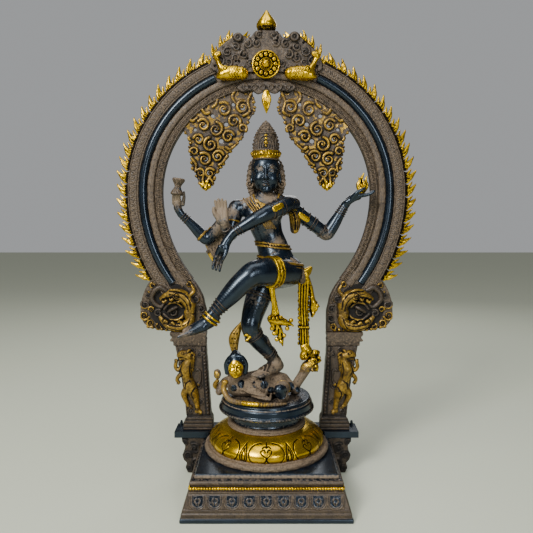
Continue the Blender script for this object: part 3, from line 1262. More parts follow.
def arm_rear_left():
    c = Clay("arm_rear_left", voxel=0.8, grow=4)
    c.add(limb([(42, 7, 524, 14.6), (62, 12, 509, 13.8), (80, 16, 497, 13), (98, 20, 484, 12.6),
                (113, 24, 473, 12.6), (121, 25, 481, 12.4), (131, 25, 497, 11.2),
                (141, 25, 514, 8.8), (149, 25, 527, 7.6)]), blend=0)
    c.add(limb([(150, 25, 529, 7.4), (160, 25, 539, 8), (172, 25, 543.5, 8)], (0, 0, 1, 1.1)),
          limb([(152, 20, 532, 6), (170, 18, 543.5, 6.4)]),
          limb([(152, 30, 532, 6), (170, 32, 543.5, 6.4)]), blend=3)
    for i in range(4):
        c.add(limb([(170, 16 + i * 6, 544.5, 4.2), (182, 14.4 + i * 6.6, 545.2, 3.3),
                    (193, 13.8 + i * 6.8, 547.6, 3), (201 - i * 1.0, 13.6 + i * 6.8, 552.4, 2.2)]),
              blend=1.4)
    c.add(limb([(161, 15, 541, 4.6), (168, 10.6, 549, 3.8), (176, 9.6, 554.4, 3.2),
                (182, 10, 557.4, 2.4)]), blend=2)
    c.dust((110, 18, 470, 16, 0.5))
    upper = (0.82, 0.2, -0.53)
    fore = (0.52, 0, 0.85)
    rings = [((61, 12, 509.6), upper, 0.9, 1.4), ((75, 15, 500.6), upper, 0.9, 1.4),
             ((85, 17, 493.4), upper, 0.9, 1.5), ((89.4, 18, 490.4), upper, 0.9, 1.5),
             ((104, 21.5, 479.6), upper, 0.8, 1.3)]
    rings += [((139 + 2.3 * i, 25, 510.6 + 3.8 * i), fore, 0.9, 1.5) for i in range(4)]
    return c, rings, [cone((62, -1, 508), (75, 2, 499.6), 5.4, 5.4)]


def leg_raised():
    c = Clay("leg_raised", voxel=1.0, grow=4)
    c.add(limb([(42, -5, 402, 26), (26, -22, 404, 26.6), (8, -40, 405.4, 26),
                (-10, -54, 405, 24.4), (-24, -62, 402.6, 22), (-36, -66, 394, 20),
                (-48, -68.6, 383, 19), (-62, -71, 368, 17.2), (-76, -73.4, 353, 14),
                (-88, -75.6, 340, 11), (-98, -77.4, 329, 10.2)]), blend=0)
    c.add(egg((-30, -71, 399), (11, 10, 12)), blend=10)
    c.add(limb([(-90, -72, 327, 9.4), (-99, -76, 321, 11), (-112, -79, 316, 10.6),
                (-126, -81, 310, 9), (-137, -83, 305.6, 7)]), blend=5)
    c.add(limb([(-108, -84, 313, 7), (-124, -88, 308, 6.6), (-135, -91, 305, 5)]),
          limb([(-108, -74, 313, 7), (-124, -73, 309, 6.6), (-134, -72, 306, 4.6)]), blend=5)
    for i in range(5):
        r = 4.4 - i * 0.42
        c.add(limb([(-130 + i * 2.4, -92 + i * 4.9, 305.4 + i * 0.5, r),
                    (-140 + i * 3.0, -93.6 + i * 5.1, 302.6 + i * 0.8, r * 0.94),
                    (-148 + i * 3.8, -94.4 + i * 5.2, 299.6 + i * 1.2, r * 0.84)]), blend=0.9)
        c.carve(egg((-149.4 + i * 3.8, -94.8 + i * 5.2, 302.6 + i), (2.6, 2.0, 0.9)), blend=0.5)
    c.add(ball((-94, -84.5, 327), 4), ball((-96, -69, 328), 4), blend=4)
    c.soften(1)
    c.dust((-144, -84, 304, 17, 0.9), (-104, -78, 326, 8, 0.3), (34, -8, 424, 14, 0.4))
    thigh = (-0.76, -0.62, 0.0)
    shin = (-0.72, -0.12, -0.68)
    bands = [((10, -38, 405.3), thigh, 6.6, 1.4), ((15.4, -33.6, 405), thigh, 1.7, 3.0),
             ((10, -38, 405.3), thigh, 1.6, 2.8), ((4.4, -42.8, 405.6), thigh, 1.7, 3.0)]
    bands += [((-77.6 - 4.2 * i, -73.8 - 0.7 * i, 351.4 - 4.2 * i), shin, 1.15, 1.7)
              for i in range(4)]
    foot = (-0.62, -0.1, -0.78)
    bands += [((-95.4, -77, 331.6), foot, 1.9, 3.0), ((-99.8, -77.6, 326.4), foot, 1.9, 3.0)]
    return c, bands


def leg_standing():
    c = Clay("leg_standing", voxel=1.0, grow=4)
    c.add(limb([(-4, 2, 384, 25), (-10, -2, 368, 24.4), (-18, -9, 347, 22.8),
                (-26, -15, 322, 20), (-28.6, -18.4, 304, 18.2), (-25, -17, 290, 16.8),
                (-15, -12, 275, 15.8), (-3, -6, 260, 14), (9, -1.4, 246, 11.4),
                (18, 1.4, 234, 10.4)]), blend=0)
    c.add(egg((-30, -29, 303), (10, 7, 12)), blend=9)
    c.add(egg((-6, 3, 268), (12, 11, 16)), blend=8)
    c.add(limb([(23, 6, 224, 10), (16, -2, 223, 11.4), (6, -12, 222, 10.8), (-4, -21, 220, 9.4),
                (-12, -28, 218, 7.6)]), blend=6)
    for i in range(5):
        c.add(limb([(-12 + i * 3.6, -23 - i * 2.6, 218.6, 4.4),
                    (-19 + i * 3.6, -29 - i * 2.6, 218, 3.9),
                    (-25 + i * 3.6, -33.4 - i * 2.6, 216.6, 3.2)]), blend=1.2)
    c.soften(1)
    c.dust((-10, -20, 220, 24, 1.2), (16, -6, 228, 16, 1.0), (-20, -20, 352, 20, 0.35),
           (-24, -26, 290, 12, 0.35), (4, -8, 272, 10, 0.5))
    top = (-0.32, -0.22, -0.93)
    shin = (0.66, 0.26, -0.7)
    bands = [((-13, -5, 362), top, 1.3, 1.6), ((-14.4, -6, 357), top, 1.3, 1.6),
             ((-24.5, -16.6, 289), (0.5, 0.3, -0.8), 1.2, 1.8),
             ((-22, -15.6, 285), (0.5, 0.3, -0.8), 1.2, 1.8)]
    bands += [((5 + 3.1 * i, -3 + 1.2 * i, 250.6 - 3.5 * i), shin, 1.1, 1.7) for i in range(3)]
    return c, bands


def band_skin(clay, rings, widest, plates=(), extra=None):
    """Bands of one limb; the thin ones get the second material, the plates the third."""
    bands = clay.twin()
    for centre, axis, half, height in rings:
        bands.wrap(clay, disc(centre, axis, half, widest), height=height)
        if half < 1.4:
            bands.paint(1, disc(centre, axis, half + 0.6, widest))
    for shape in flat_list(plates):
        bands.wrap(clay, shape, height=1.6, soft=1.0)
        bands.wrap(clay, (shape[0], shape[1], lambda x, y, z, f=shape[2]: f(x, y, z) + 2.6),
                   height=2.6, soft=1.0)
        bands.paint(2, shape)
    if extra:
        extra(bands, clay)
    return bands.skin()


def knee_bow(bands, clay):
    """Knot of the cord below the standing knee."""
    y = clay.front(-30, 287)
    bands.add(limb([(-30, y, 287, 2.0), (-36, y - 2, 291, 2.6), (-40, y, 289, 1.6)]),
              limb([(-30, y, 287, 2.0), (-35, y - 2, 282, 2.4), (-38, y, 279, 1.4)]),
              ball((-30, y, 287), 3), blend=0.8)


def build_limbs():
    skins = []
    for name, make in (("arm_front_right", arm_front_right), ("arm_front_left", arm_front_left),
                       ("arm_rear_right", arm_rear_right), ("arm_rear_left", arm_rear_left)):
        clay, rings, *plates = make()
        skins.append(band_skin(clay, rings, 24, plates))
        show(name + "_casting", shade(clay, 0.12), [name], PATINA)
    show("arm_bands_casting", joined(skins), ["arm_bands"], OLD_GILT, UMBER, GILT)
    skins = []
    for name, make, extra in (("leg_raised", leg_raised, None),
                              ("leg_standing", leg_standing, knee_bow)):
        clay, rings = make()
        skins.append(band_skin(clay, rings, 40, extra=extra))
        show(name + "_casting", shade(clay, 0.12), [name], PATINA)
    show("leg_bands_casting", joined(skins), ["leg_bands"], GILT, UMBER, OLD_GILT)


def build_held():
    low, high = box_mm("drum")
    mid = (low + high) / 2
    tall = (high[2] - low[2]) / 2 - 1
    profile = [(0.3, -tall), (9.5, -tall), (11.2, -tall + 1), (11.6, -tall + 3),
               (10.6, -tall + 5), (6.4, -3.4), (5.4, 0), (6.4, 3.4), (10.6, tall - 5),
               (11.6, tall - 3), (11.2, tall - 1), (9.5, tall), (0.3, tall), (0.3, 0)]
    skin = lathe(profile, 64, lambda a, r, z: 0.45 * np.cos(a * 12 + z * 0.5) * (r > 4),
                 step=0.8, gain=1.2)
    tilt = math.radians(8)
    x, z = skin.verts[:, 0].copy(), skin.verts[:, 2].copy()
    skin.verts = np.stack([mid[0] + x * math.cos(tilt) + z * math.sin(tilt),
                           mid[1] + skin.verts[:, 1],
                           mid[2] + z * math.cos(tilt) - x * math.sin(tilt)], 1)
    skin.dust[:] = 0.5
    show("drum_casting", skin, ["drum"], UMBER)

    flame = Clay("hand_flame", voxel=0.55, grow=3)
    flame.add(limb([(179, 25, 550, 6), (180, 25, 556, 7), (180, 25, 562, 6)]), blend=0)
    tongues = [
        [(179, 25, 558, 6), (176, 25, 567, 5), (179, 25, 577, 3.4), (184, 24, 588, 0.8)],
        [(184, 25, 556, 5), (189, 25, 564, 4.2), (187, 25, 573, 2.8), (189.6, 24, 582, 0.8)],
        [(176, 23, 556, 5), (172, 22, 565, 3.8), (175, 21, 572, 2.6), (173, 20, 579, 0.8)],
        [(181, 20, 556, 4.6), (183, 18, 566, 3.4), (180, 18, 574, 0.9)],
        [(181, 29, 556, 4.6), (179, 31, 567, 3.4), (182, 31, 575, 0.9)],
    ]
    for t in tongues:
        flame.add(limb(t), blend=1.2)
        rib = [(p[0], p[1] - p[3] - 0.2, p[2], 0.8) for p in t]
        flame.carve(limb(rib), blend=1.0)
    show("hand_flame_casting", flame.skin(), ["hand_flame"], GILT)


def build_scarf():
    c = Clay("arm_scarf", voxel=0.9, grow=4)
    cloth = [(-124, 468), (-104, 474), (-84, 479), (-77, 470), (-82, 448), (-90, 430),
             (-97, 419), (-104, 424), (-112, 442)]
    c.add(plate(cloth, 18.5, 24.5, 4), blend=0)
    c.soften(2)
    for i in range(6):
        top = -118 + i * 7.6
        c.emboss(c.drape([(top, 468 + i * 1.6), (top + 6 - i, 448), (-100 + i * 1.2, 424)], 1.5,
                         core=c), height=1.6, soft=1.2)
    edge = [(-125, 464), (-117, 450), (-109, 436), (-101, 423)]
    c.add(c.drape(edge, 2.9, sink=1.6), blend=1.0)
    c.add(limb([(-86, 20, 478, 4), (-84, 20, 460, 3.6), (-90, 20, 438, 3.2), (-98, 20, 421, 3)]),
          blend=1.5)
    c.paint(1, limb([(-127, 20, 463, 4.6), (-117, 20, 448, 4.8), (-109, 20, 434, 4.8),
                     (-100, 20, 421, 4.4)]))
    c.dust((-95, 18, 455, 34, 0.8))
    show("arm_scarf_casting", shade(c, 0.3), ["arm_scarf"], UMBER, GILT)


def build_sashes():
    c = Clay("sash_centre", voxel=0.8, grow=4)
    thin = (0, 1, 0, 1.4)
    c.add(limb([(9, -25, 376, 6), (12, -24, 358, 5.2), (15, -23, 342, 5.6), (16, -22, 326, 8)],
               thin), blend=0)
    c.add(limb([(9, -23, 318, 8), (18, -22, 315, 9), (26, -21, 314, 8)]), blend=3)
    c.add(limb([(22, -22, 315, 8), (32, -21, 312, 7), (42, -20, 308, 4), (50, -19, 304, 1.2)],
               thin),
          limb([(13, -22, 312, 8), (20, -21, 300, 8.6), (26, -19, 284, 6), (30, -18, 267, 1.2)],
               thin), blend=2)
    for i in range(4):
        c.emboss(c.drape([(8 + i * 3.4, 372), (10 + i * 3.0, 345), (11 + i * 3.6, 328)], 0.8,
                         core=c), height=1.0)
        c.emboss(c.drape([(12 + i * 3.2, 306), (20 + i * 2.6, 290), (28 + i * 0.6, 270)], 0.8,
                         core=c), height=1.0)
    for x, z in ((6, 322), (12.6, 320), (19.2, 320), (26, 322)):
        c.add(ball((x, -30.4, z), 3.9), blend=0.6)
    for a, b in (((16, 306), (12, 292)), ((22, 300), (18, 282)), ((28, 292), (26, 274)),
                 ((34, 314), (44, 316)), ((36, 308), (46, 303)), ((24, 306), (34, 296))):
        c.carve(c.drape([a, ((a[0] + b[0]) / 2 + 1.5, (a[1] + b[1]) / 2), b], 1.1), blend=0.9)
    for x, z in ((10, 300), (14, 291), (19, 280), (27, 276), (32, 287), (38, 300), (45, 315)):
        c.add(egg((x, -21, z), (4.2, 3.6, 4.4)), blend=1)
    show("sash_centre_casting", c.skin().aged(1.2, 0.1), ["sash_centre"], GILT)

    c = Clay("sash_side", voxel=0.9, grow=4)
    ribbon = [(60, 396), (76, 392), (79, 372), (77, 340), (78, 300), (80, 264), (64, 260),
              (62, 300), (60, 340), (59, 372)]
    c.add(plate(ribbon, -3.4, 7, 3), blend=0)
    c.soften(2)
    c.add(limb([(64, -2, 398, 9), (74, 1, 401, 8.4), (82, 4, 409, 4)]),
          limb([(72, 0, 392, 8), (80, 4, 380, 4.6)]), ball((73, -4, 398), 6.4), blend=3)
    for x in (64.5, 69.5, 74.4):
        c.emboss(c.drape([(x, 388), (x - 1.4, 340), (x + 0.6, 300), (x + 1.6, 264)], 1.0, core=c),
                 height=-1.3)
    c.add(limb([(82, 4, 374, 4.6), (86, 5, 352, 5), (88, 6, 336, 8), (86, 6, 319, 3)], thin),
          blend=1.5)
    for z, x in ((345, 95), (337, 99), (329, 94)):
        c.add(limb([(88, 6, z + 1, 4.4), (x, 6, z, 1.4)]), blend=1)
    c.wrap(c, disc((70, 2, 299), (0, 0, 1), 1.7, 18), height=2.2)
    leaves = [((70, 2, 262), (82, 4, 246), 10), ((76, 2, 252), (66, 3, 238), 9),
              ((82, 3, 246), (100, 7, 250), 8), ((84, 4, 238), (103, 6, 234), 7.4),
              ((82, 3, 234), (96, 5, 214), 9), ((78, 4, 228), (68, 6, 214), 9)]
    for a, b, size in leaves:
        c.add(limb([a + (size * 0.7,), tuple((np.array(a) + b) / 2 - (0, 3, 0)) + (size,),
                    b + (1.6,)], (0, 1, 0, 1.2)), blend=1.6)
        rib = [(a[0], a[2]), (b[0], b[2])]
        c.emboss(c.drape(rib, 0.9, core=c), height=1.3)
        for t in (0.3, 0.5, 0.7):
            x, z = a[0] + (b[0] - a[0]) * t, a[2] + (b[2] - a[2]) * t
            nx, nz = -(b[2] - a[2]) * 0.22, (b[0] - a[0]) * 0.22
            for s in (1, -1):
                c.emboss(c.drape([(x, z), (x + s * nx, z + s * nz)], 0.8, core=c), height=0.9)
    c.add(limb([(78, 4, 224, 10), (68, 6, 206, 9), (58, 6, 190, 8.6), (52, 6, 176, 7)]), blend=4)
    for x, z in ((92, 226), (86, 218), (98, 243), (74, 244)):
        c.add(ball((x, c.front(x, z, -8) - 0.6, z), 3.4), blend=1)
    c.paint(1, block((40, -20, 165), (120, 30, 214)))
    c.dust((66, 0, 200, 30, 0.9), (66, 0, 405, 14, 0.4))
    for i in range(16):
        z = 388 - i * 8
        c.add(egg((61.4 - (i % 2), 1, z), (2.6, 4, 3.6)),
              egg((77.6 + (i % 2), 1, z - 4), (2.6, 4, 3.6)), blend=0.8)
    for x, z in ((90, 342), (93, 333), (88, 324), (84, 352), (95, 338)):
        c.add(egg((x, 4, z), (3.6, 4, 4.6)), blend=0.8)
    show("sash_side_casting", c.skin().aged(1.25, 0.12), ["sash_side"], GILT, UMBER)

    c = Clay("sash_rear", voxel=0.8, grow=4)
    c.add(limb([(-42, -6, 312, 4), (-48, -4, 304, 4), (-54, -7, 294, 7), (-60, -10, 280, 10),
                (-60, -14, 266, 8), (-58, -17, 254, 5)], thin), blend=0)
    for i in range(4):
        for j in range(3):
            spot = (-66 + j * 6 + (i % 2) * 2.4, 289 - i * 8.6)
            y = c.front(*spot)
            c.carve(ball((spot[0], y, spot[1]), 1.7), blend=0.8)
    show("sash_rear_casting", c.skin(), ["sash_rear"], OLD_GILT)


# ---------- the dwarf ----------


def build_dwarf():
    c = Clay("dwarf_body", voxel=1.0, grow=3)
    c.add(limb([(-58, -10, 187, 15), (-38, -9, 190, 19), (-12, -5, 192, 22), (20, 0, 192, 20)]),
          limb([(-34, 6, 197, 15), (0, 8, 200, 17), (30, 8, 194, 15)]), blend=6)
    c.add(limb([(-62, -12, 202, 13), (-57, -18, 214, 12.4)]), blend=6)
    c.add(limb([(26, -8, 188, 15), (30, -34, 193, 12), (24, -50, 197, 9.4)]), blend=4)
    c.add(limb([(22, -52, 196, 9.4), (27, -48, 184, 8.6), (34, -42, 177, 7.4)]), blend=3)
    c.add(limb([(30, 6, 190, 14), (46, -2, 186, 10), (56, -8, 180, 7.4)]),
          limb([(-40, -18, 198, 10), (-24, -36, 188, 8.4), (-8, -46, 182, 6.4)]),
          limb([(-64, 2, 198, 11), (-80, -4, 192, 9), (-88, -14, 180, 7)]), blend=4)
    c.add(egg((-92, -8, 212), (7, 9, 9)), blend=3)
    c.add(hoop((-93, -10, 211), (0.7, 0.7, 0.2), 7, 1.8), blend=1)
    c.add(limb([(34, -41, 177, 6.6), (26, -50, 175.6, 5)]),
          limb([(-7, -46, 181, 6), (2, -52, 178, 4.4)]), blend=2)
    for x, z in ((-20, 205), (-12, 206), (-4, 207), (4, 207), (12, 206)):
        path = [(x, z), (x + 4, z - 12), (x + 2, z - 24)]
        c.emboss(c.drape(path, 1.4, core=c), height=-1.0, soft=1.4)
    for z, r in ((186, 2.2), (180, 2.0)):
        c.add(c.drape([(-46, z + 2), (-20, z), (6, z - 2), (18, z - 1)], r, core=c), blend=2)
    for path in ([(-70, 206), (-66, 196), (-58, 188)], [(-52, 208), (-50, 197), (-46, 188)]):
        c.add(c.drape(path, 2.2, core=c), blend=1.5)
    c.wrap(c, disc((30, -30, 193), (-0.1, -0.9, 0.2), 2.0, 15), height=1.8)
    c.wrap(c, disc((29, -44.6, 183), (0.4, 0.3, -0.9), 1.4, 12), height=1.6)
    c.lumps(9, 0.7, 3)
    c.keep(block((-200, -200, SEAT_HIGH[2] + 0.2), (200, 200, 400)))
    c.paint(1, ball((24, -54, 192), 13.5))
    c.paint(2, disc((30, -30, 193), (-0.1, -0.9, 0.2), 3.0, 17))
    for x, y, z, r in ((-18, -36, 200, 7), (-22, -30, 204, 6), (-34, -30, 186, 6),
                       (-46, -26, 198, 7), (-4, -24, 196, 7), (8, -22, 186, 6), (44, -8, 188, 8),
                       (-60, -24, 190, 6), (60, -12, 184, 6), (-8, -20, 208, 6)):
        c.paint(1, ball((x, y, z), r))
    c.paint(2, ball((-95, -16, 212), 8))
    c.dust((-20, -10, 200, 80, 1.2))
    skin = shade(c, 1.0)
    dark = np.unique(skin.quads[skin.metal == 1])
    skin.dust[dark] *= 0.12
    show("dwarf_body_casting", skin, ["dwarf_body"], UMBER, PATINA, GILT)

    x0, y0, z0 = -55.5, -27.0, 231.0
    c = Clay("dwarf_head", voxel=0.6, grow=5)
    c.add(egg((x0, y0, z0 + 3), (17, 16, 17)), blend=0)
    c.add(egg((x0, y0 - 4, z0 - 9), (13.4, 13, 11.4)), blend=6)
    c.add(limb([(x0 - 1, y0 + 3, z0 + 14, 13), (x0 - 2, y0 + 6, z0 + 24, 6)]), blend=4)
    for s in (-1, 1):
        c.carve(egg((x0 + s * 6.2, y0 - 18, z0 + 3.4), (4.6, 4, 3)), blend=2.4)
        c.add(egg((x0 + s * 6.2, y0 - 13.2, z0 + 3), (3.6, 3, 2.3)), blend=0.6)
        brow = [(x0 + s * 2.4, z0 + 6.6), (x0 + s * 6.4, z0 + 8.4), (x0 + s * 10.6, z0 + 6.4)]
        c.add(c.drape(brow, 0.9), blend=0.8)
        c.add(egg((x0 + s * 6.8, y0 - 13, z0 - 6), (4.6, 4, 4.4)), blend=3)
    c.add(limb([(x0, y0 - 14.6, z0 + 5, 1.5), (x0, y0 - 17, z0 - 1, 1.9),
                (x0, y0 - 18, z0 - 3.6, 2.6)]), blend=1.4)
    lip = c.front(x0, z0 - 9)
    c.add(limb([(x0 - 4.4, lip + 1, z0 - 8.2, 0.8), (x0, lip - 0.6, z0 - 7.8, 1.2),
                (x0 + 4.4, lip + 1, z0 - 8.2, 0.8)]),
          limb([(x0 - 3.4, lip + 0.8, z0 - 10, 0.9), (x0, lip - 0.6, z0 - 10.8, 1.4),
                (x0 + 3.4, lip + 0.8, z0 - 10, 0.9)]), blend=0.7)
    c.add(egg((x0, y0 - 13, z0 - 16), (4, 3.4, 3)), blend=3)
    hood = [(-17, 1, -12), (-18.4, 0, 4), (-11, -2, 17), (0, -3, 21), (11, -2, 17), (18.4, 0, 4),
            (17, 1, -12)]
    c.add(limb([(x0 + x, y0 + y, z0 + z, 4) for x, y, z in hood]), blend=2.5)
    for t in range(9):
        a = math.radians(-20 + t * 27.5)
        c.add(ball((x0 - 15.6 * math.cos(a), y0 - 7, z0 + 4 + 14.6 * math.sin(a)), 1.7), blend=0.6)
    face = egg((x0, y0 - 12, z0 - 2), (13.6, 14, 16))
    c.paint(1, block((x0 - 40, y0 - 60, z0 - 40), (x0 + 40, y0 + 60, z0 + 60)))
    c.paint(0, face)
    show("dwarf_head_casting", c.skin(), ["dwarf_head"], GILT, PATINA)

    c = Clay("dwarf_serpent", voxel=0.8, grow=4)
    c.add(limb([(-76, -38, 203, 4.4), (-77, -40, 191, 5.4), (-68, -50, 178.6, 4.8),
                (-56, -58, 175.6, 4.4), (-34, -68, 175.2, 4.2), (-12, -73, 175, 4),
                (14, -71, 174.6, 3.2), (34, -64, 174, 2)]), blend=0)
    c.add(egg((-75, -39, 205), (6.4, 5, 5)), blend=2)
    c.add(limb([(-92, -2, 182, 4), (-96, -6, 190, 5), (-92, -10, 199, 4)]), blend=0)
    for t in np.linspace(-58, 26, 15):
        c.emboss(disc((t, -70, 175), (1, 0.15, 0), 0.8, 16), height=0.7, soft=0.6)
    c.keep(block((-200, -200, SEAT_HIGH[2] + 0.2), (200, 200, 400)))
    c.paint(1, block((-44, -90, 170), (-14, -50, 190)))
    c.dust((-60, -50, 180, 24, 0.7), (20, -66, 174, 26, 0.7))
    show("dwarf_serpent_casting", c.skin(), ["dwarf_serpent"], OLD_GILT, GILT)


# ---------- the flaming arch ----------

RING_LOW, RING_HIGH = box_mm("ring_right")
RING_R = RING_HIGH[0]
RING_Z = RING_HIGH[2] - RING_R
ARCH_Y = RING_HIGH[1] - 11
SPREAD = 60.0
LOWER_DEG = 39.0


def ring_path(upper_steps, lower_steps, lower_deg=LOWER_DEG):
    """Angle from the horizontal and the arc's centre x, from the ring's top to its foot."""
    upper = np.linspace(90, 0, upper_steps)
    lower = np.linspace(0, -lower_deg, lower_steps)[1:]
    shift = [0.0] * upper_steps + [-SPREAD] * (lower_steps - 1)
    return np.radians([*upper, *lower]), np.array(shift)


def sweep_ring(profile, steps, lower_deg=LOWER_DEG, relief=None, start=None):
    """Closed profile (radius, height to the front) run down the right half of the ring."""
    p = closed_profile(profile, 0.9)
    n = outward(p)
    lower = int(steps * 0.38)
    angle, shift = ring_path(steps - lower, lower + 1, lower_deg)
    if start is not None:
        keep = angle <= math.radians(start)
        angle, shift = angle[keep], shift[keep]
    run = np.concatenate([[0], np.cumsum(np.abs(np.diff(angle)) * (RING_R - shift[1:]))])
    r, h = (np.broadcast_to(p[:, d], (len(angle), len(p))) for d in range(2))
    if relief is not None:
        push = relief(run[:, None], r, h)
        r, h = r + n[:, 0] * push, h + n[:, 1] * push
    reach = r - shift[:, None]
    x = shift[:, None] + reach * np.cos(angle)[:, None]
    z = RING_Z + reach * np.sin(angle)[:, None]
    verts = np.stack([x, ARCH_Y - h, z], -1).reshape(-1, 3)
    side = grid_quads(len(angle), len(p), closed_columns=True)
    half = len(p) // 2
    cap = np.arange(half - 1)
    ends = np.stack([cap, cap + 1, len(p) - 2 - cap, len(p) - 1 - cap], 1)
    last = ends + (len(angle) - 1) * len(p)
    return Skin(verts, np.concatenate([side, ends[:, ::-1], last]))


def build_ring():
    r = RING_R
    profile = [(r - 67, -10.6), (r - 0.4, -10.6), (r, -8), (r, 5), (r - 0.8, 7.4), (r - 2.6, 8),
               (r - 3.6, 6.2), (r - 4.6, 8), (r - 11, 9.2), (r - 17.4, 8), (r - 18.4, 6.2),
               (r - 19.4, 8), (r - 21.4, 7.6), (r - 22, 3.6), (r - 38, 3.6), (r - 38.6, 6.6),
               (r - 40.4, 7.8), (r - 45, 8.4), (r - 49.6, 7.8), (r - 51.4, 6.6), (r - 52, 3.2),
               (r - 52.8, 3), (r - 53.2, 5), (r - 54.2, 5), (r - 54.6, 7), (r - 56, 7.8),
               (r - 57, 6.2), (r - 58, 7.6), (r - 61, 8.6), (r - 64, 7.6), (r - 65, 6.2),
               (r - 66, 7.6), (r - 67, 6)]

    def relief(run, q, h):
        outer = np.exp(-((q - (r - 11)) / 5.6) ** 4) * (h > 5)
        inner = np.exp(-((q - (r - 61)) / 2.6) ** 4) * (h > 5)
        weave = np.sin(run * 1.05 + 1.6 * np.sin(q * 0.9)) * np.cos(q * 1.3 + 0.35 * run)
        beads = 0.5 + 0.5 * np.cos(run * 2 * math.pi / 4.2)
        wander = 0.5 * np.sin(run * 0.13) + 0.4 * np.sin(run * 0.31 + q * 0.4)
        front = (h > 0) * 1.0
        return outer * (weave * 0.75 - 0.3) + inner * (beads * 2.0 - 1.2) + wander * 0.3 * front

    skin = sweep_ring(profile, 1100, relief=relief).with_cavity(4, 1.5)
    front = skin.verts[:, 1] < ARCH_Y
    skin.dust = np.where(front, 0.42, 0.2)
    foot = [(118.4, 280.4), (118.4, 318), (121, 331), (127.4, 354), (140, 377), (152, 389),
            (168, 400), (184, 399), (200, 395), (226, 382), (236, 369), (244, 350), (249, 322),
            (245, 302), (236, 292), (214, 285), (186, 280.4)]
    y0 = ARCH_Y - 6.4
    small = Clay("makara_right", "capital_right", voxel=1.0, grow=26)
    small.add(plate(foot, y0, ARCH_Y + 10.6, 3), blend=0)
    rim = [(121, 286), (121, 318), (124, 332), (130, 354), (142, 376)]
    small.add(small.drape(rim, 2.4, sink=0.6), blend=1)
    small.add(small.drape([(124.6, 290), (125, 318), (128, 332), (134, 352), (146, 374)], 1.2,
                          sink=0.3), blend=0.6)
    small.lumps(12, 0.4, 5)
    spandrel = small.skin()
    hidden = np.hypot(spandrel.verts[:, 0] - 186, spandrel.verts[:, 2] - 330) < 46
    spandrel.cavity = np.where(hidden & (spandrel.verts[:, 1] < ARCH_Y), 0.55, spandrel.cavity)
    spandrel.dust = np.where(hidden, 0.05, 0.3)
    whole = joined([skin, spandrel])
    show_pair("ring", whole, UMBER)

    c, t = r - 30, 8.0
    tube = [(c + t * math.cos(a), 3.6 + 1.05 * t * math.sin(a))
            for a in np.linspace(0, math.pi, 19)]
    tube = sweep_ring(tube, 360, lower_deg=35.5, start=66).with_cavity(3, 0.4)
    depth = ARCH_Y - 3.6 - tube.verts[:, 1]
    tube.dust = np.clip(0.55 - depth / 5, 0, 0.5)
    show_pair("tube", tube, PATINA)


def flame_variant(seed):
    """One cluster of curved tongues in its own frame: x along the ring, z outwards."""
    rng = np.random.default_rng(seed)
    c = Clay(voxel=0.7, grid=(np.array([-17.0, -9.0, -6.0]), np.array([58, 26, 52])))
    tall = box_mm("flames_right")[1][0] - RING_R - 1.2
    c.add(limb([(-8.4, 0, -2, 3.2), (0, 0, -1.4, 3.8), (7, 0, -2, 3.2)]), blend=0)
    tongues = ((-8.6, 0.50, 2.8, 5.0), (-4.0, 0.84, 3.9, 9.0), (1.6, 1.0, 4.3, 9.4),
               (7.0, 0.62, 3.2, 6.6))
    for x, share, width, lean in tongues:
        h = tall * share * rng.uniform(0.93, 1.0)
        lean = lean * rng.uniform(0.8, 1.15)
        lift = rng.uniform(-2.0, 0.6)
        c.add(limb([(x, lift * 0.4, -1.6, width * 0.9), (x - 2.4, lift, h * 0.26, width),
                    (x - 2.2, lift, h * 0.5, width * 0.86), (x + lean * 0.22, lift, h * 0.75,
                    width * 0.6), (x + lean * 0.66, lift, h * 0.92, width * 0.32),
                    (x + lean, 0, h - 0.6, 0.5)], (0, 1, 0, 1.1)), blend=0.5)
        c.carve(limb([(x + 0.4, lift - width - 0.2, 0, 0.8),
                      (x - 1.9, lift - width * 0.95, h * 0.34, 1.0),
                      (x + lean * 0.15, lift - width * 0.7, h * 0.66, 0.7),
                      (x + lean * 0.55, lift - width * 0.4, h * 0.86, 0.4)]), blend=0.8)
    for x, z in ((-5.2, -0.6), (0.6, 0.4), (5.6, -0.6)):
        c.add(ball((x, -3.6, z), 2.0), blend=0.4)
        c.carve(ball((x, -6.0, z), 0.9), blend=0.4)
    return c.skin()


def flame_marks(shape):
    """Dark roots and folds of a flame cluster."""
    root = np.clip((5.0 - shape.verts[:, 2]) / 6, 0, 1) * 0.6
    return np.clip(shape.cavity * 1.4 + root + 0.18, 0, 1)


def placed_flame(shape, base, turn, width, size):
    """A cluster set on the ring at base, with its tongues pointing out at an angle."""
    out = np.array([math.cos(turn), 0, math.sin(turn)])
    along = np.array([-math.sin(turn), 0, math.cos(turn)])
    verts = (base + shape.verts[:, :1] * along * width
             + shape.verts[:, 1:2] * np.array([0, 1, 0]) + shape.verts[:, 2:] * out * size)
    return Skin(verts, shape.quads[:, ::-1], flame_marks(shape))


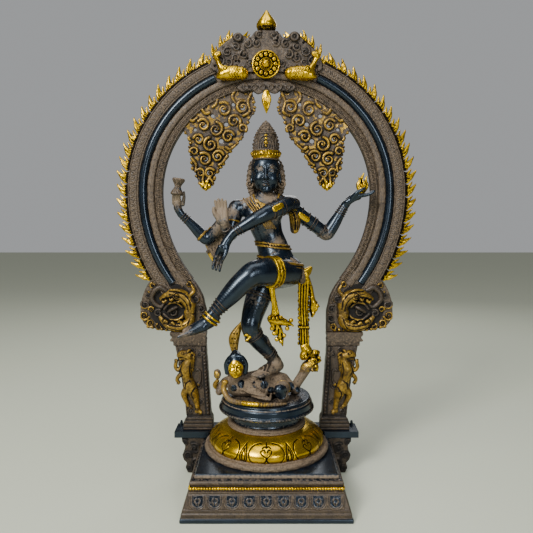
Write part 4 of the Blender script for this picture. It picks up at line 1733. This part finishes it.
def build_flames():
    variants = [flame_variant(seed) for seed in (11, 12, 13)]
    upper, lower = 13, 7
    edge = box_mm("flames_right")[1][0]
    turns = [(math.radians(64 - i * 62 / (upper - 1)), 0.0) for i in range(upper)]
    turns += [(math.radians(-2.8 - i * 25.2 / (lower - 1)), -SPREAD) for i in range(lower)]
    skins = []
    for i, (turn, shift) in enumerate(turns):
        shape = variants[i % 3]
        out = np.array([math.cos(turn), 0, math.sin(turn)])
        base = np.array([shift, ARCH_Y, RING_Z]) + out * (RING_R - shift)
        room = (edge + 3 - base[0]) / max(out[0] * shape.verts[:, 2].max(), 1)
        size = min(room, 1.32) * RNG.uniform(0.94, 1.0)
        skins.append(placed_flame(shape, base, turn, RNG.uniform(1.05, 1.15), size))
    crest = ((103, 802, 30, 1.1), (93, 819, 42, 1.1), (80, 833, 52, 1.1), (67, 843, 62, 1.1),
             (38, 845, 75, 0.8))
    for i, (x, z, turn, size) in enumerate(crest):
        base = np.array([x, ARCH_Y, z - 2])
        skins.append(placed_flame(variants[i % 3], base, math.radians(turn), 0.8, size))
    whole = joined(skins)
    whole.verts[:, 0] = np.minimum(whole.verts[:, 0], edge)
    show_pair("flames", whole, GILT)


def scroll_relief(clay, scrolls, thick, y, blend=0.8):
    """Raised scrolls (x, z, r, start degrees, side) on a plate whose face is at y."""
    for x, z, r, start, side in scrolls:
        path = spiral(x, z, r, start=start, side=side)
        clay.add(limb([(p[0], y, p[1], thick * p[2]) for p in path], steps=2), blend=blend)
        clay.add(egg((x, y - 0.6, z), (r * 0.2, thick * 1.2, r * 0.2)), blend=blend)


def build_crest():
    c = Clay("crest_block", voxel=1.0, grow=4)
    y0 = ARCH_Y - 13.0
    outline = [(-84, 764), (-97, 782), (-107, 787), (-105, 806), (-96, 820), (-80, 834),
               (-66, 844), (-54, 850), (-42, 848), (-36, 843), (-28, 847), (-21, 856), (0, 858),
               (21, 856), (28, 847), (34, 842), (40, 845), (52, 853), (64, 848), (72, 837),
               (88, 825), (103, 809), (107, 787), (98, 781), (84, 764), (60, 773), (30, 780),
               (0, 782), (-30, 780), (-60, 773)]
    c.add(plate(outline, y0, ARCH_Y + 10.6, 2), blend=0)
    c.add(plate([(-58, 752), (-46, 743), (-30, 746), (-16, 739), (0, 745), (16, 739), (30, 746),
                 (44, 743), (56, 752), (44, 761), (20, 759), (0, 763), (-20, 759), (-44, 761)],
                ARCH_Y - 12.8, ARCH_Y - 8.6, 3), blend=0)
    c.soften(1)
    scrolls = []
    for s in (-1, 1):
        scrolls += [(s * 88, 800, 9, 90, s), (s * 74, 817, 9, 60, -s), (s * 58, 826, 8, 120, s),
                    (s * 42, 812, 9, 90, -s), (s * 36, 832, 8, 60, s), (s * 18, 833, 8, 120, -s),
                    (s * 58, 806, 7, 200, s), (s * 14, 848, 7, 60, -s), (s * 88, 782, 7, 0, s),
                    (s * 30, 796, 7, 150, s), (s * 40, 787, 6, 20, -s), (s * 72, 798, 7, 300, -s)]
    scroll_relief(c, scrolls, 2.1, y0 - 0.4)
    rng = np.random.default_rng(5)
    for i in range(70):
        x, z = rng.uniform(-98, 98), rng.uniform(778, 846)
        if c.front(x, z, 0) > y0 - 1.2 and abs(x) + 0.6 * abs(z - 793) > 36:
            c.carve(egg((x, y0 - 0.5, z), (2.2, 4.5, 2.2)), blend=0.8)
    for x in np.arange(-92, 93, 8.4):
        z = 848 - (x / 92) ** 2 * 40
        if abs(x) > 24:
            c.add(limb([(x, y0 + 3, z - 4, 3.6), (x * 1.02, y0 + 3, z + 3, 1.6)]), blend=1.5)
    for s, x, z, r in ((-1, -54, 844, 9.4), (1, 53, 845, 10.4)):
        c.add(egg((x, y0 + 2, z), (r, 9, r)), blend=2)
        c.add(hoop((x, y0 - 4.4, z - 1), (0, 1, 0), r * 0.62, 1.9), blend=1)
        c.carve(egg((x, y0 - 7.4, z - 1), (r * 0.42, 4, r * 0.42)), blend=1)
        c.add(ball((x, y0 - 4.6, z - 1), 2.2), blend=0.6)
    for x in (-40, -24, -8, 8, 24, 40):
        c.add(hoop((x, ARCH_Y - 13, 750 + (abs(x) % 16) * 0.2), (0, 1, 0), 4.4, 1.5), blend=0.8)
        c.carve(egg((x + 8, ARCH_Y - 13.4, 752), (2.2, 2.6, 2.2)), blend=0.8)
    c.lumps(6, 0.5, 9)
    c.carve((RING_LOW - 300, RING_HIGH + 300, ring_core), blend=0)
    c.dust((0, y0, 800, 130, 0.3))
    show("crest_casting", shade(c, 0.35).aged(1.2), ["crest_block"], UMBER)

    base, top = box_mm("finial")[0][2], box_mm("finial")[1][2]
    shares = [(13, 0), (17, 0.1), (19.4, 0.24), (19.2, 0.36), (16.4, 0.5), (12.2, 0.64),
              (8, 0.77), (4.6, 0.88), (2.2, 0.955), (0.2, 1)]
    bud = [(0.2, base)] + [(r, base + (top - base) * share) for r, share in shares]

    def petals(a, r, z):
        h = (z - base) / (top - base)
        leaf = np.abs(np.sin(a * 3 + 0.5)) ** 0.5
        edge = np.abs(np.sin(a * 3 + 0.5)) < 0.16
        return (leaf * 1.0 - 1.0 - 0.5 * edge) * np.clip(1.1 - h, 0, 1) * (r > 3) \
            - 0.9 * np.exp(-((h - 0.2) / 0.03) ** 2) * (r > 3)

    skin = lathe(bud, 140, petals, step=0.8, centre=(0, ARCH_Y), gain=1.2)
    z = skin.verts[:, 2]
    low = np.clip((base + 13 - z) / 6, 0, 1)
    skin.cavity = np.maximum(skin.cavity * 1.2, low * 0.6)
    show("finial_casting", skin, ["finial"], GILT)

    x, y, z = -1.0, ARCH_Y - 15.0, 793.0
    c = Clay("rosette", voxel=0.6, grow=3)
    c.add(disc((x, y - 1.2, z), (0, 1, 0), 1.4, 26.4), blend=0)
    c.add(hoop((x, y - 2.2, z), (0, 1, 0), 24.8, 1.8), hoop((x, y - 2.6, z), (0, 1, 0), 11.4, 1.3),
          blend=0.8)
    for i in range(12):
        a = i * math.pi / 6
        c.add(egg((x + 18 * math.cos(a), y - 3, z + 18 * math.sin(a)), (4.4, 3.6, 4.4)), blend=0.6)
        c.carve(ball((x + 18.4 * math.cos(a), y - 7.4, z + 18.4 * math.sin(a)), 2.0), blend=0.6)
        b = a + math.pi / 12
        c.add(ball((x + 22 * math.cos(b), y - 3, z + 22 * math.sin(b)), 1.5), blend=0.4)
    c.add(egg((x, y - 4, z), (7.6, 6.4, 7.6)), hoop((x, y - 3, z), (0, 1, 0), 8.6, 1.2), blend=0.5)
    show("rosette_casting", c.skin().aged(1.5, 0.06), ["rosette"], GILT)


def ring_core(x, y, z):
    """Distance to the ring's own solid above its middle, kept free of the crest."""
    r = np.sqrt(x ** 2 + (z - RING_Z) ** 2)
    across = np.abs(r - (RING_R - 33.5)) - 33.7
    return np.maximum(across, np.maximum(ARCH_Y - 3.8 - y, y - ARCH_Y - 30))


def beyond_ring(x, y, z):
    """Distance to everything outside the ring's inner edge, kept free of the valances."""
    return RING_R - 66 - np.sqrt(x ** 2 + (z - RING_Z) ** 2)


def build_heads():
    c = Clay("crest_heads", voxel=0.8, grow=3)
    y = ARCH_Y - 19
    for s in (-1, 1):
        c.add(limb([(s * 45, y + 3, 776, 11), (s * 58, y, 776, 13), (s * 72, y, 775, 13),
                    (s * 83, y + 1, 773, 10)]), blend=0)
        c.add(limb([(s * 82, y + 2, 780, 8), (s * 88, y + 2, 791, 5), (s * 93, y + 2, 802, 4.6),
                    (s * 95, y + 2, 809, 6.2), (s * 89, y + 1, 812, 4.4)]), blend=3)
        c.add(limb([(s * 84, y - 3, 771, 7), (s * 91, y - 1, 769, 4)]), blend=3)
        c.add(ball((s * 77, y - 11, 781), 3.0), hoop((s * 77, y - 10.4, 781), (0, 1, 0), 4.6, 1.1),
              blend=0.6)
        c.add(hoop((s * 46, y + 2, 776), (1, 0, 0), 11.4, 1.8), blend=0.8)
        for i in range(4):
            x = s * (52 + i * 5.0)
            wave = [(x, 786), (x + s * 3, 781), (x - s * 1, 776), (x + s * 3, 771), (x, 766)]
            c.carve(c.drape(wave, 0.75), blend=0.8)
        c.carve(limb([(s * 84, y - 9, 773, 0.8), (s * 92, y - 5, 772, 0.8)]), blend=0.8)
    c.keep(block((-200, -200, 700), (200, ARCH_Y - 11.5, 900)))
    show("crest_heads_casting", c.skin().aged(1.15), ["crest_heads"], GILT)

    c = Clay("pendant", voxel=0.6, grow=3)
    c.add(limb([(0, ARCH_Y - 12, 741, 6), (0, ARCH_Y - 12, 730, 9.4), (0, ARCH_Y - 12, 718, 6.4),
                (0, ARCH_Y - 12, 704, 1.4)], (0, 1, 0, 2.4)), blend=0)
    c.add(limb([(0, ARCH_Y - 14.4, 738, 1.2), (0, ARCH_Y - 15.4, 722, 1.2),
                (0, ARCH_Y - 13.6, 708, 0.8)]), blend=0.8)
    for s in (-1, 1):
        c.carve(limb([(s * 4, ARCH_Y - 15, 736, 0.8), (s * 5.4, ARCH_Y - 15, 726, 0.8),
                      (s * 2, ARCH_Y - 14.6, 714, 0.6)]), blend=0.8)
    show("pendant_casting", c.skin(), ["pendant"], GILT)


def build_valances():
    c = Clay("valance_right", voxel=0.9, grow=6)
    y0, y1 = ARCH_Y - 3.2, ARCH_Y + 2.6
    outline = [(25, 729), (30, 748), (60, 752), (94, 741), (126, 719), (150, 697), (164, 677),
               (154, 664), (147, 652), (149, 636), (144, 620), (146, 604), (138, 592),
               (134, 578), (126, 566), (118, 558), (110, 566), (103, 572), (100, 588), (90, 600),
               (81, 612), (74, 628), (62, 642), (51, 654), (44, 664), (38, 684), (29, 700),
               (23, 712)]
    c.add(plate(outline, y0, y1, 3), blend=0)
    holes = [(46, 716, 5), (64, 722, 4), (84, 712, 5), (104, 700, 4.5), (58, 694, 4.5),
             (78, 684, 5), (98, 674, 5), (120, 682, 4.5), (66, 666, 4), (88, 652, 5),
             (110, 646, 5), (130, 656, 4.5), (96, 624, 4.5), (118, 618, 5), (136, 630, 4),
             (112, 592, 4.5), (126, 594, 3.6), (138, 674, 3.6), (118, 574, 3)]
    for x, z, r in holes:
        c.carve(disc((x, ARCH_Y, z), (0, 1, 0), 20, r * 0.82), blend=1.4)
    c.soften(1)
    big = [(46, 716, 13, 120, -1), (82, 712, 14, 60, 1), (63, 690, 13, 200, -1),
           (98, 674, 14, 100, 1), (74, 660, 12, 160, -1), (122, 682, 12, 40, 1),
           (108, 645, 14, 80, -1), (131, 655, 10, 20, 1), (94, 622, 12, 160, -1),
           (120, 617, 13, 60, 1), (110, 590, 10, 140, -1), (128, 591, 8, 40, 1),
           (46, 676, 8, 220, -1), (140, 632, 8, 0, 1)]
    scroll_relief(c, big, 3.1, y0 - 1.9, blend=0.7)
    long = [[(28, 746), (36, 726), (32, 708), (44, 700)], [(60, 750), (66, 736), (60, 724)],
            [(94, 740), (96, 724), (104, 716)], [(126, 716), (118, 704), (110, 706)],
            [(150, 694), (142, 690), (134, 696)], [(60, 644), (70, 636), (78, 640)],
            [(76, 624), (84, 612), (92, 606)], [(144, 618), (136, 606), (138, 594)],
            [(104, 574), (112, 580), (118, 562)], [(118, 562), (124, 574), (122, 588)]]
    for path in long:
        c.add(limb([(p[0], y0 - 1.6, p[1], 2.8) for p in path], steps=3), blend=0.8)
    rng = np.random.default_rng(3)
    for i in range(60):
        a, b = outline[i % len(outline)], outline[(i + 1) % len(outline)]
        t = rng.uniform(0.1, 0.9)
        x, z = a[0] + (b[0] - a[0]) * t, a[1] + (b[1] - a[1]) * t
        if math.hypot(x, z - RING_Z) < RING_R - 72:
            c.add(egg((x, y0 + 1, z), (rng.uniform(2.4, 4), 3.4, rng.uniform(2.4, 4))), blend=1)
    for x, z in ((111, 566), (118, 561), (125, 567), (116, 573)):
        c.add(egg((x, y0 - 1, z), (4, 4, 5)), blend=0.8)
    c.lumps(5, 0.45, 4)
    c.carve((RING_LOW - 300, RING_HIGH + 300, beyond_ring), blend=0)
    skin = c.skin().aged(1.3)
    skin.dust = np.clip((skin.verts[:, 2] - 620) / 200, 0.1, 0.5) * (skin.cavity > 0.18)
    centre = skin.verts[skin.quads].mean(axis=1)
    tips = ball((118, y0, 564), 13)[2](*centre.T) < 0
    skin.metal = np.where(tips, 2, (centre[:, 1] > y0 - 0.05).astype(int))
    show_pair("valance", skin, OLD_GILT, UMBER, GILT)


def build_makaras():
    c = Clay("makara_right", voxel=0.9, grow=5)
    y = ARCH_Y - 9.6
    head = [(147, y + 1, 322, 9), (151, y, 337, 12), (163, y - 1, 350, 12.4),
            (180, y - 1, 356, 10), (195, y, 353, 7.4), (206, y + 1, 346, 4.4)]
    jaw = [(147, y + 1, 312, 8.4), (154, y, 297, 10), (170, y - 1, 291, 10), (186, y - 1, 292, 9),
           (199, y, 299, 6.6), (209, y, 310, 4)]
    c.add(limb(head), limb(jaw), egg((152, y, 316), (10, 8, 15)), blend=4)
    trunk = [(197, y + 1, 362, 4.6), (208, y, 368, 5.2), (220, y, 361, 5), (225, y, 347, 4.6),
             (217, y, 335, 4), (207, y, 330, 3.4), (201, y, 337, 2.6)]
    c.add(limb(trunk), blend=1)
    c.add(limb([(166, y, 330, 2.8), (177, y - 2, 339, 3), (190, y - 2, 337, 3),
                (200, y - 1, 326, 2.6)]), blend=0.7)
    c.add(limb([(163, y, 314, 2.8), (172, y - 2, 305, 3), (188, y - 2, 305, 3),
                (201, y - 1, 316, 2.6)]), blend=0.7)
    c.add(ball((174, y - 12, 353), 4.4), hoop((174, y - 11, 353), (0, 1, 0), 6.2, 1.5), blend=0.6)
    c.add(limb([(160, y - 9, 358, 2.2), (172, y - 12, 364, 2.6), (186, y - 9, 364, 2)]), blend=1)
    c.add(limb([(150, y - 4, 352, 4), (142, y - 2, 362, 3.4), (146, y - 1, 372, 2.4)]), blend=1)
    c.add(limb([(176, y - 3, 330, 3), (184, y - 5, 326, 3.4), (193, y - 3, 320, 2.4)]), blend=0.8)
    for x, z, turn in ((168, 344, 1), (182, 347, 1), (196, 343, 1), (166, 300, -1), (180, 297, -1),
                       (194, 301, -1)):
        c.add(limb([(x, y - 8, z, 3), (x + 4, y - 9, z - 3 * turn, 2.4), (x + 7, y - 8, z, 1.2)]),
              blend=0.7)
    scroll_relief(c, [(240, 313, 9.6, 200, 1), (238, 334, 8.4, 30, -1), (184, 319, 8, 100, 1),
                      (128, 326, 8, 60, 1), (127, 308, 8, 300, -1), (131, 290, 6.4, 120, -1),
                      (213, 318, 7.4, 120, -1), (228, 298, 8, 240, 1), (212, 290, 6, 60, -1),
                      (232, 353, 6.4, 100, 1), (139, 344, 6.6, 80, 1), (226, 325, 5.6, 0, 1),
                      (222, 372, 5.6, 60, -1), (152, 374, 5, 90, 1)], 2.6, y + 0.8, blend=0.8)
    for i in range(12):
        x = 134 + i * 9
        c.add(egg((x, y + 2, 284.5 + max(x - 200, 0) * 0.2), (3.8, 4.6, 3.6)), blend=0.6)
    for line in ([(150, 302), (160, 295), (176, 293), (194, 296)],
                 [(149, 308), (158, 288), (176, 285), (196, 290)],
                 [(153, 322), (156, 338), (168, 350), (190, 356)],
                 [(147, 326), (149, 342), (160, 356), (178, 362)]):
        c.carve(c.drape(line, 0.9), blend=1.0)
    c.carve(ball((174, y - 16.6, 353), 1.5), blend=0.4)
    c.lumps(6, 0.4, 8)
    c.keep(block((0, -200, 270), (400, ARCH_Y - 3, 500)))
    c.keep(block((0, -200, 0), (box_mm("makara_right")[1][0], 200, 900)))
    brown = [egg((128, y, 318), (14, 22, 22)), egg((238, y, 344), (13, 22, 16)),
             egg((185, y, 321), (24, 22, 15)), egg((140, y, 346), (8, 20, 9)),
             limb([(p[0], p[1], p[2], p[3] + 1.4) for p in trunk]), egg((214, y, 320), (9, 20, 9))]
    c.paint(1, brown)
    skin = c.skin().aged(1.15, 0.04)
    show_pair("makara", skin, OLD_GILT, UMBER)


def build_pillars():
    front = ARCH_Y - 11.6
    back = ARCH_Y + 10.6
    c = Clay("pillar_right", voxel=0.9, grow=3)
    c.add(plate([(110.4, 112), (159.6, 112), (162.6, 150), (169.6, 200), (179.6, 252.6),
                 (119.4, 252.6)], front, back), blend=0)
    c.add(plate([(106.4, 85.4), (164.6, 85.4), (164.6, 100), (160.6, 103), (160.6, 107.6),
                 (157, 113), (110, 113), (107, 108), (106.4, 103)], front - 4.6, back), blend=0)
    c.add(block((123.4, ARCH_Y - 5.8, 53.2), (148.6, ARCH_Y + 5.8, 90)), blend=0)
    for z, t in ((90, 1.0), (98, 1.2), (105, 1.2), (111, 1.6)):
        c.carve(block((90, front - 9, z - 0.5), (200, front - 3.4, z + t - 0.5)), blend=1)
    strip = [(112.5, 115), (118.5, 115), (126.2, 251), (120.4, 251)]
    c.add(plate(strip, front - 1.8, front + 1), blend=0.6)
    for i in range(19):
        z = 119 + i * 7
        x = 115.7 + (z - 115) * 0.0575
        c.add(egg((x, front - 2, z), (2.2, 1.8, 2.8)), blend=0.4)
    edge = [(157.6, 116), (160.4, 150), (167, 200), (176.4, 250)]
    c.add(limb([(p[0], front, p[1], 1.6) for p in edge]), blend=0.8)
    c.add(limb([(p[0], front, p[1], 1.2) for p in [(121.6, 116), (129.4, 250)]]), blend=0.6)
    for x, z, r in ((132, 236, 7), (146, 244, 6), (168, 216, 6), (134, 172, 6), (130, 140, 6),
                    (150, 122, 6), (166, 240, 6)):
        scroll_relief(c, [(x, z, r, 90, 1 if x < 150 else -1)], 1.4, front - 0.4, blend=0.8)
    c.lumps(8, 0.35, 6)
    skin = c.skin()
    skin.dust[:] = 0.12
    show_pair("pillar", skin, UMBER)

    c = Clay("capital_right", voxel=0.8, grow=3)
    steps = [(253.2, 262, 119, 183), (262, 265.4, 118.4, 189.4), (266.4, 271, 119.6, 186),
             (272, 274.4, 118.4, 188.6), (274.8, 279.8, 118.2, 189.6)]
    for z0, z1, x0, x1 in steps:
        depth = (x1 - 180) * 0.25
        c.add(block((x0, front - 2 - depth, z0), (x1, back, z1 + 0.8)), blend=0.4)
    for x in np.arange(122, 188, 5.2):
        c.add(egg((x, front - 3.6, 268.8), (2.2, 1.6, 2.2)), blend=0.4)
        c.emboss(block((x - 0.8, front - 9, 254), (x + 0.8, front + 1, 261)), height=0.8)
    c.soften(1)
    low, high = box_mm("capital_right")
    c.keep(block(low, high))
    skin = c.skin()
    skin.dust[:] = 0.4
    show_pair("capital", skin, UMBER)


def build_yalis():
    c = Clay("yali_right", voxel=0.8, grow=4)
    y = ARCH_Y - 13.0
    c.add(limb([(151, y - 1, 229, 8.4), (156, y - 1, 215, 11.4), (158, y - 1, 202, 12),
                (156, y, 189, 10.4), (150, y, 174, 11.4), (146, y, 163, 11), (141, y, 150, 7.6),
                (138, y, 138, 5.4), (137, y + 1, 127, 5)]), blend=0)
    c.add(limb([(137, y, 123, 5), (131, y, 120.6, 3.6)]), blend=2)
    c.add(limb([(154, y - 1, 170, 9.4), (162, y - 1, 158, 7), (160, y - 1, 146, 5),
                (155, y, 136, 4.2)]), limb([(155, y, 135, 4), (149, y - 1, 132, 3)]), blend=2)
    c.add(limb([(153, y - 3, 234, 8.4), (163, y - 3, 238, 7.4), (172, y - 2, 235, 4.6)]),
          limb([(160, y - 2, 230, 5), (171, y - 1, 228, 2.8)]), blend=2)
    c.add(limb([(164, y - 1, 212, 6), (174, y - 2, 206, 4.4), (179, y - 2, 214, 3.8),
                (177, y - 2, 224, 3.4)]), blend=2)
    c.add(limb([(162, y - 2, 202, 5.6), (172, y - 3, 194, 4.2), (176, y - 2, 186, 3.6),
                (172, y - 2, 181, 3)]), blend=2)
    tail = [(141, y + 1, 172, 3.6), (132, y + 1, 180, 3.2), (129, y + 1, 194, 3),
            (134, y + 1, 206, 2.8), (140, y + 1, 203, 2.2)]
    c.add(limb(tail), blend=1)
    c.add(ball((163, y - 10.2, 240.6), 2.4), blend=0.5)
    c.add(limb([(154, y - 6, 243, 2.8), (149, y - 4, 248, 2)]), blend=1)
    for i in range(6):
        z = 240 - i * 6
        c.add(limb([(147 + (i > 3), y - 4, z, 3), (142 + i * 0.6, y - 3, z - 4, 2.6),
                    (144 + i, y - 4, z - 8, 1.6)]), blend=0.6)
    for line in ([(148, 222), (150, 206), (148, 192)], [(164, 220), (168, 208), (164, 196)],
                 [(150, 186), (158, 180), (160, 170)], [(140, 172), (147, 160), (144, 148)]):
        c.carve(c.drape(line, 0.8), blend=1.2)
    for x, z in ((174, 180), (178, 226), (149, 131), (131, 120)):
        for k in range(3):
            c.add(limb([(x - 2 + k * 2, y - 3, z + 1, 1.3), (x - 2 + k * 2, y - 4, z - 3, 0.8)]),
                  blend=0.3)
    c.lumps(6, 0.35, 2)
    c.keep(block((0, -200, 0), (400, ARCH_Y - 10.4, 500)))
    c.paint(1, limb([(p[0], p[1], p[2], p[3] + 1.2) for p in tail[1:]]))
    skin = c.skin().aged(1.25, 0.08)
    show_pair("yali", skin, OLD_GILT, UMBER)


def build_supports():
    """Wings keep their CAD shape and take the dark finish; the brackets are carved."""
    for name in ("wing_left", "wing_right"):
        node = frame["nodes"][name]
        node.data.materials.clear()
        node.data.materials.append(PATINA)
    low, high = box_mm("bracket_right")
    x0, x1, z0, z1 = low[0], high[0], low[2], high[2]
    wide, tall = x1 - x0, z1 - z0
    shares = ((0, 0), (0, 0.98), (1, 0.98), (0.97, 0.86), (0.84, 0.76), (0.86, 0.62), (0.97, 0.5),
              (0.92, 0.36), (0.78, 0.28), (0.84, 0.14), (0.74, 0.01))
    c = Clay("bracket_right", voxel=0.9, grow=3)
    c.add(plate([(x0 + a * wide, z0 + b * tall) for a, b in shares], low[1] + 2.4, high[1], 1),
          blend=0)
    c.soften(1)
    face = low[1] + 1.6
    scrolls = ((0.44, 0.68, 0.24, 60, 1), (0.74, 0.5, 0.16, 200, -1), (0.42, 0.3, 0.2, 240, -1),
               (0.66, 0.13, 0.12, 90, 1), (0.84, 0.86, 0.12, 30, 1), (0.18, 0.1, 0.12, 300, 1))
    scroll_relief(c, [(x0 + a * wide, z0 + b * tall, r * wide, start, side)
                      for a, b, r, start, side in scrolls], 1.7, face)
    c.lumps(6, 0.4, 3)
    c.keep(block(low, high))
    skin = c.skin().aged(1.2, 0.1)
    show_pair("bracket", skin, UMBER)


BUILDERS = [build_plinth, build_frieze, build_rail, build_lotus, build_turned, build_torso,
            build_head, build_crown, build_limbs, build_held, build_scarf, build_sashes,
            build_dwarf, build_ring, build_flames, build_crest, build_heads, build_valances,
            build_makaras, build_pillars, build_yalis, build_supports]


# ---------- floor, light and camera ----------

FLOOR_COLOUR = (0.58, 0.615, 0.49, 1)
FLOOR_SIZE = 24
SKY_COLOUR = (0.84, 0.86, 0.88, 1)
SKY_LIGHT = 0.08
SKY_SEEN = 0.42
SUN_STRENGTH = 1.25
SUN_SPREAD_DEG = 50
SUN_TILT_DEG = (46, 0, -34)
MIDDLE = (0, 0, 0.5)
CAMERA_BACK = 0.953
CAMERA_HEIGHT = 0.4735
CAMERA_PITCH = 0.064
LENS_MM = 34.7


def area_light(name, place, aim, size, power, colour=(1.0, 1.0, 1.0)):
    light = bpy.data.lights.new(name, "AREA")
    light.shape = "RECTANGLE"
    light.size, light.size_y = size
    light.energy = power
    light.color = colour
    lamp = bpy.data.objects.new(name, light)
    lamp.location = place
    direction = np.subtract(aim, place)
    away = math.hypot(direction[0], direction[1])
    lamp.rotation_euler = (math.atan2(away, -direction[2]), 0,
                           math.atan2(direction[1], direction[0]) - math.pi / 2)
    bpy.context.scene.collection.objects.link(lamp)
    return lamp


def build_world():
    """Dim even light on the statue, with a paler plain backdrop."""
    world = bpy.data.worlds.new("studio")
    world.use_nodes = True
    tree = world.node_tree
    tree.nodes.clear()
    output = tree.nodes.new("ShaderNodeOutputWorld")
    choose = tree.nodes.new("ShaderNodeMixShader")
    seen = tree.nodes.new("ShaderNodeLightPath")
    tree.links.new(seen.outputs["Is Camera Ray"], choose.inputs["Fac"])
    for slot, strength in ((1, SKY_LIGHT), (2, SKY_SEEN)):
        light = tree.nodes.new("ShaderNodeBackground")
        light.inputs["Color"].default_value = SKY_COLOUR
        light.inputs["Strength"].default_value = strength
        tree.links.new(light.outputs["Background"], choose.inputs[slot])
    tree.links.new(choose.outputs["Shader"], output.inputs["Surface"])
    bpy.context.scene.world = world


def build_stage():
    bpy.ops.mesh.primitive_plane_add(size=FLOOR_SIZE, location=(0, 0, 0))
    floor = bpy.context.object
    floor.name = "floor"
    material = bpy.data.materials.new("pale_floor")
    material.use_nodes = True
    shader = material.node_tree.nodes["Principled BSDF"]
    shader.inputs["Base Color"].default_value = FLOOR_COLOUR
    shader.inputs["Roughness"].default_value = 0.55
    floor.data.materials.append(material)
    build_world()
    sun = bpy.data.lights.new("sun", "SUN")
    sun.energy = SUN_STRENGTH
    sun.angle = math.radians(SUN_SPREAD_DEG)
    sky_lamp = bpy.data.objects.new("sun", sun)
    sky_lamp.rotation_euler = [math.radians(turn) for turn in SUN_TILT_DEG]
    bpy.context.scene.collection.objects.link(sky_lamp)
    lamps = [
        sky_lamp,
        area_light("key", (-1.3, -1.9, 1.9), (0, 0, 0.45), (0.7, 1.0), 76, (1.0, 0.98, 0.94)),
        area_light("fill", (0.7, -2.1, 1.0), MIDDLE, (0.5, 0.9), 20, (0.93, 0.96, 1.0)),
        area_light("top", (0, -0.2, 2.4), MIDDLE, (1.4, 1.0), 16),
        area_light("back", (0.4, 2.0, 1.6), MIDDLE, (1.6, 1.0), 16),
    ]


def build_camera():
    camera = bpy.data.cameras.new("camera")
    camera.lens = LENS_MM
    camera.clip_start = 0.01
    eye = bpy.data.objects.new("camera", camera)
    eye.location = (0, -CAMERA_BACK, CAMERA_HEIGHT)
    eye.rotation_euler = (math.pi / 2 - CAMERA_PITCH, 0, 0)
    bpy.context.scene.collection.objects.link(eye)
    bpy.context.scene.camera = eye


for build in BUILDERS:
    build()
build_stage()
build_camera()
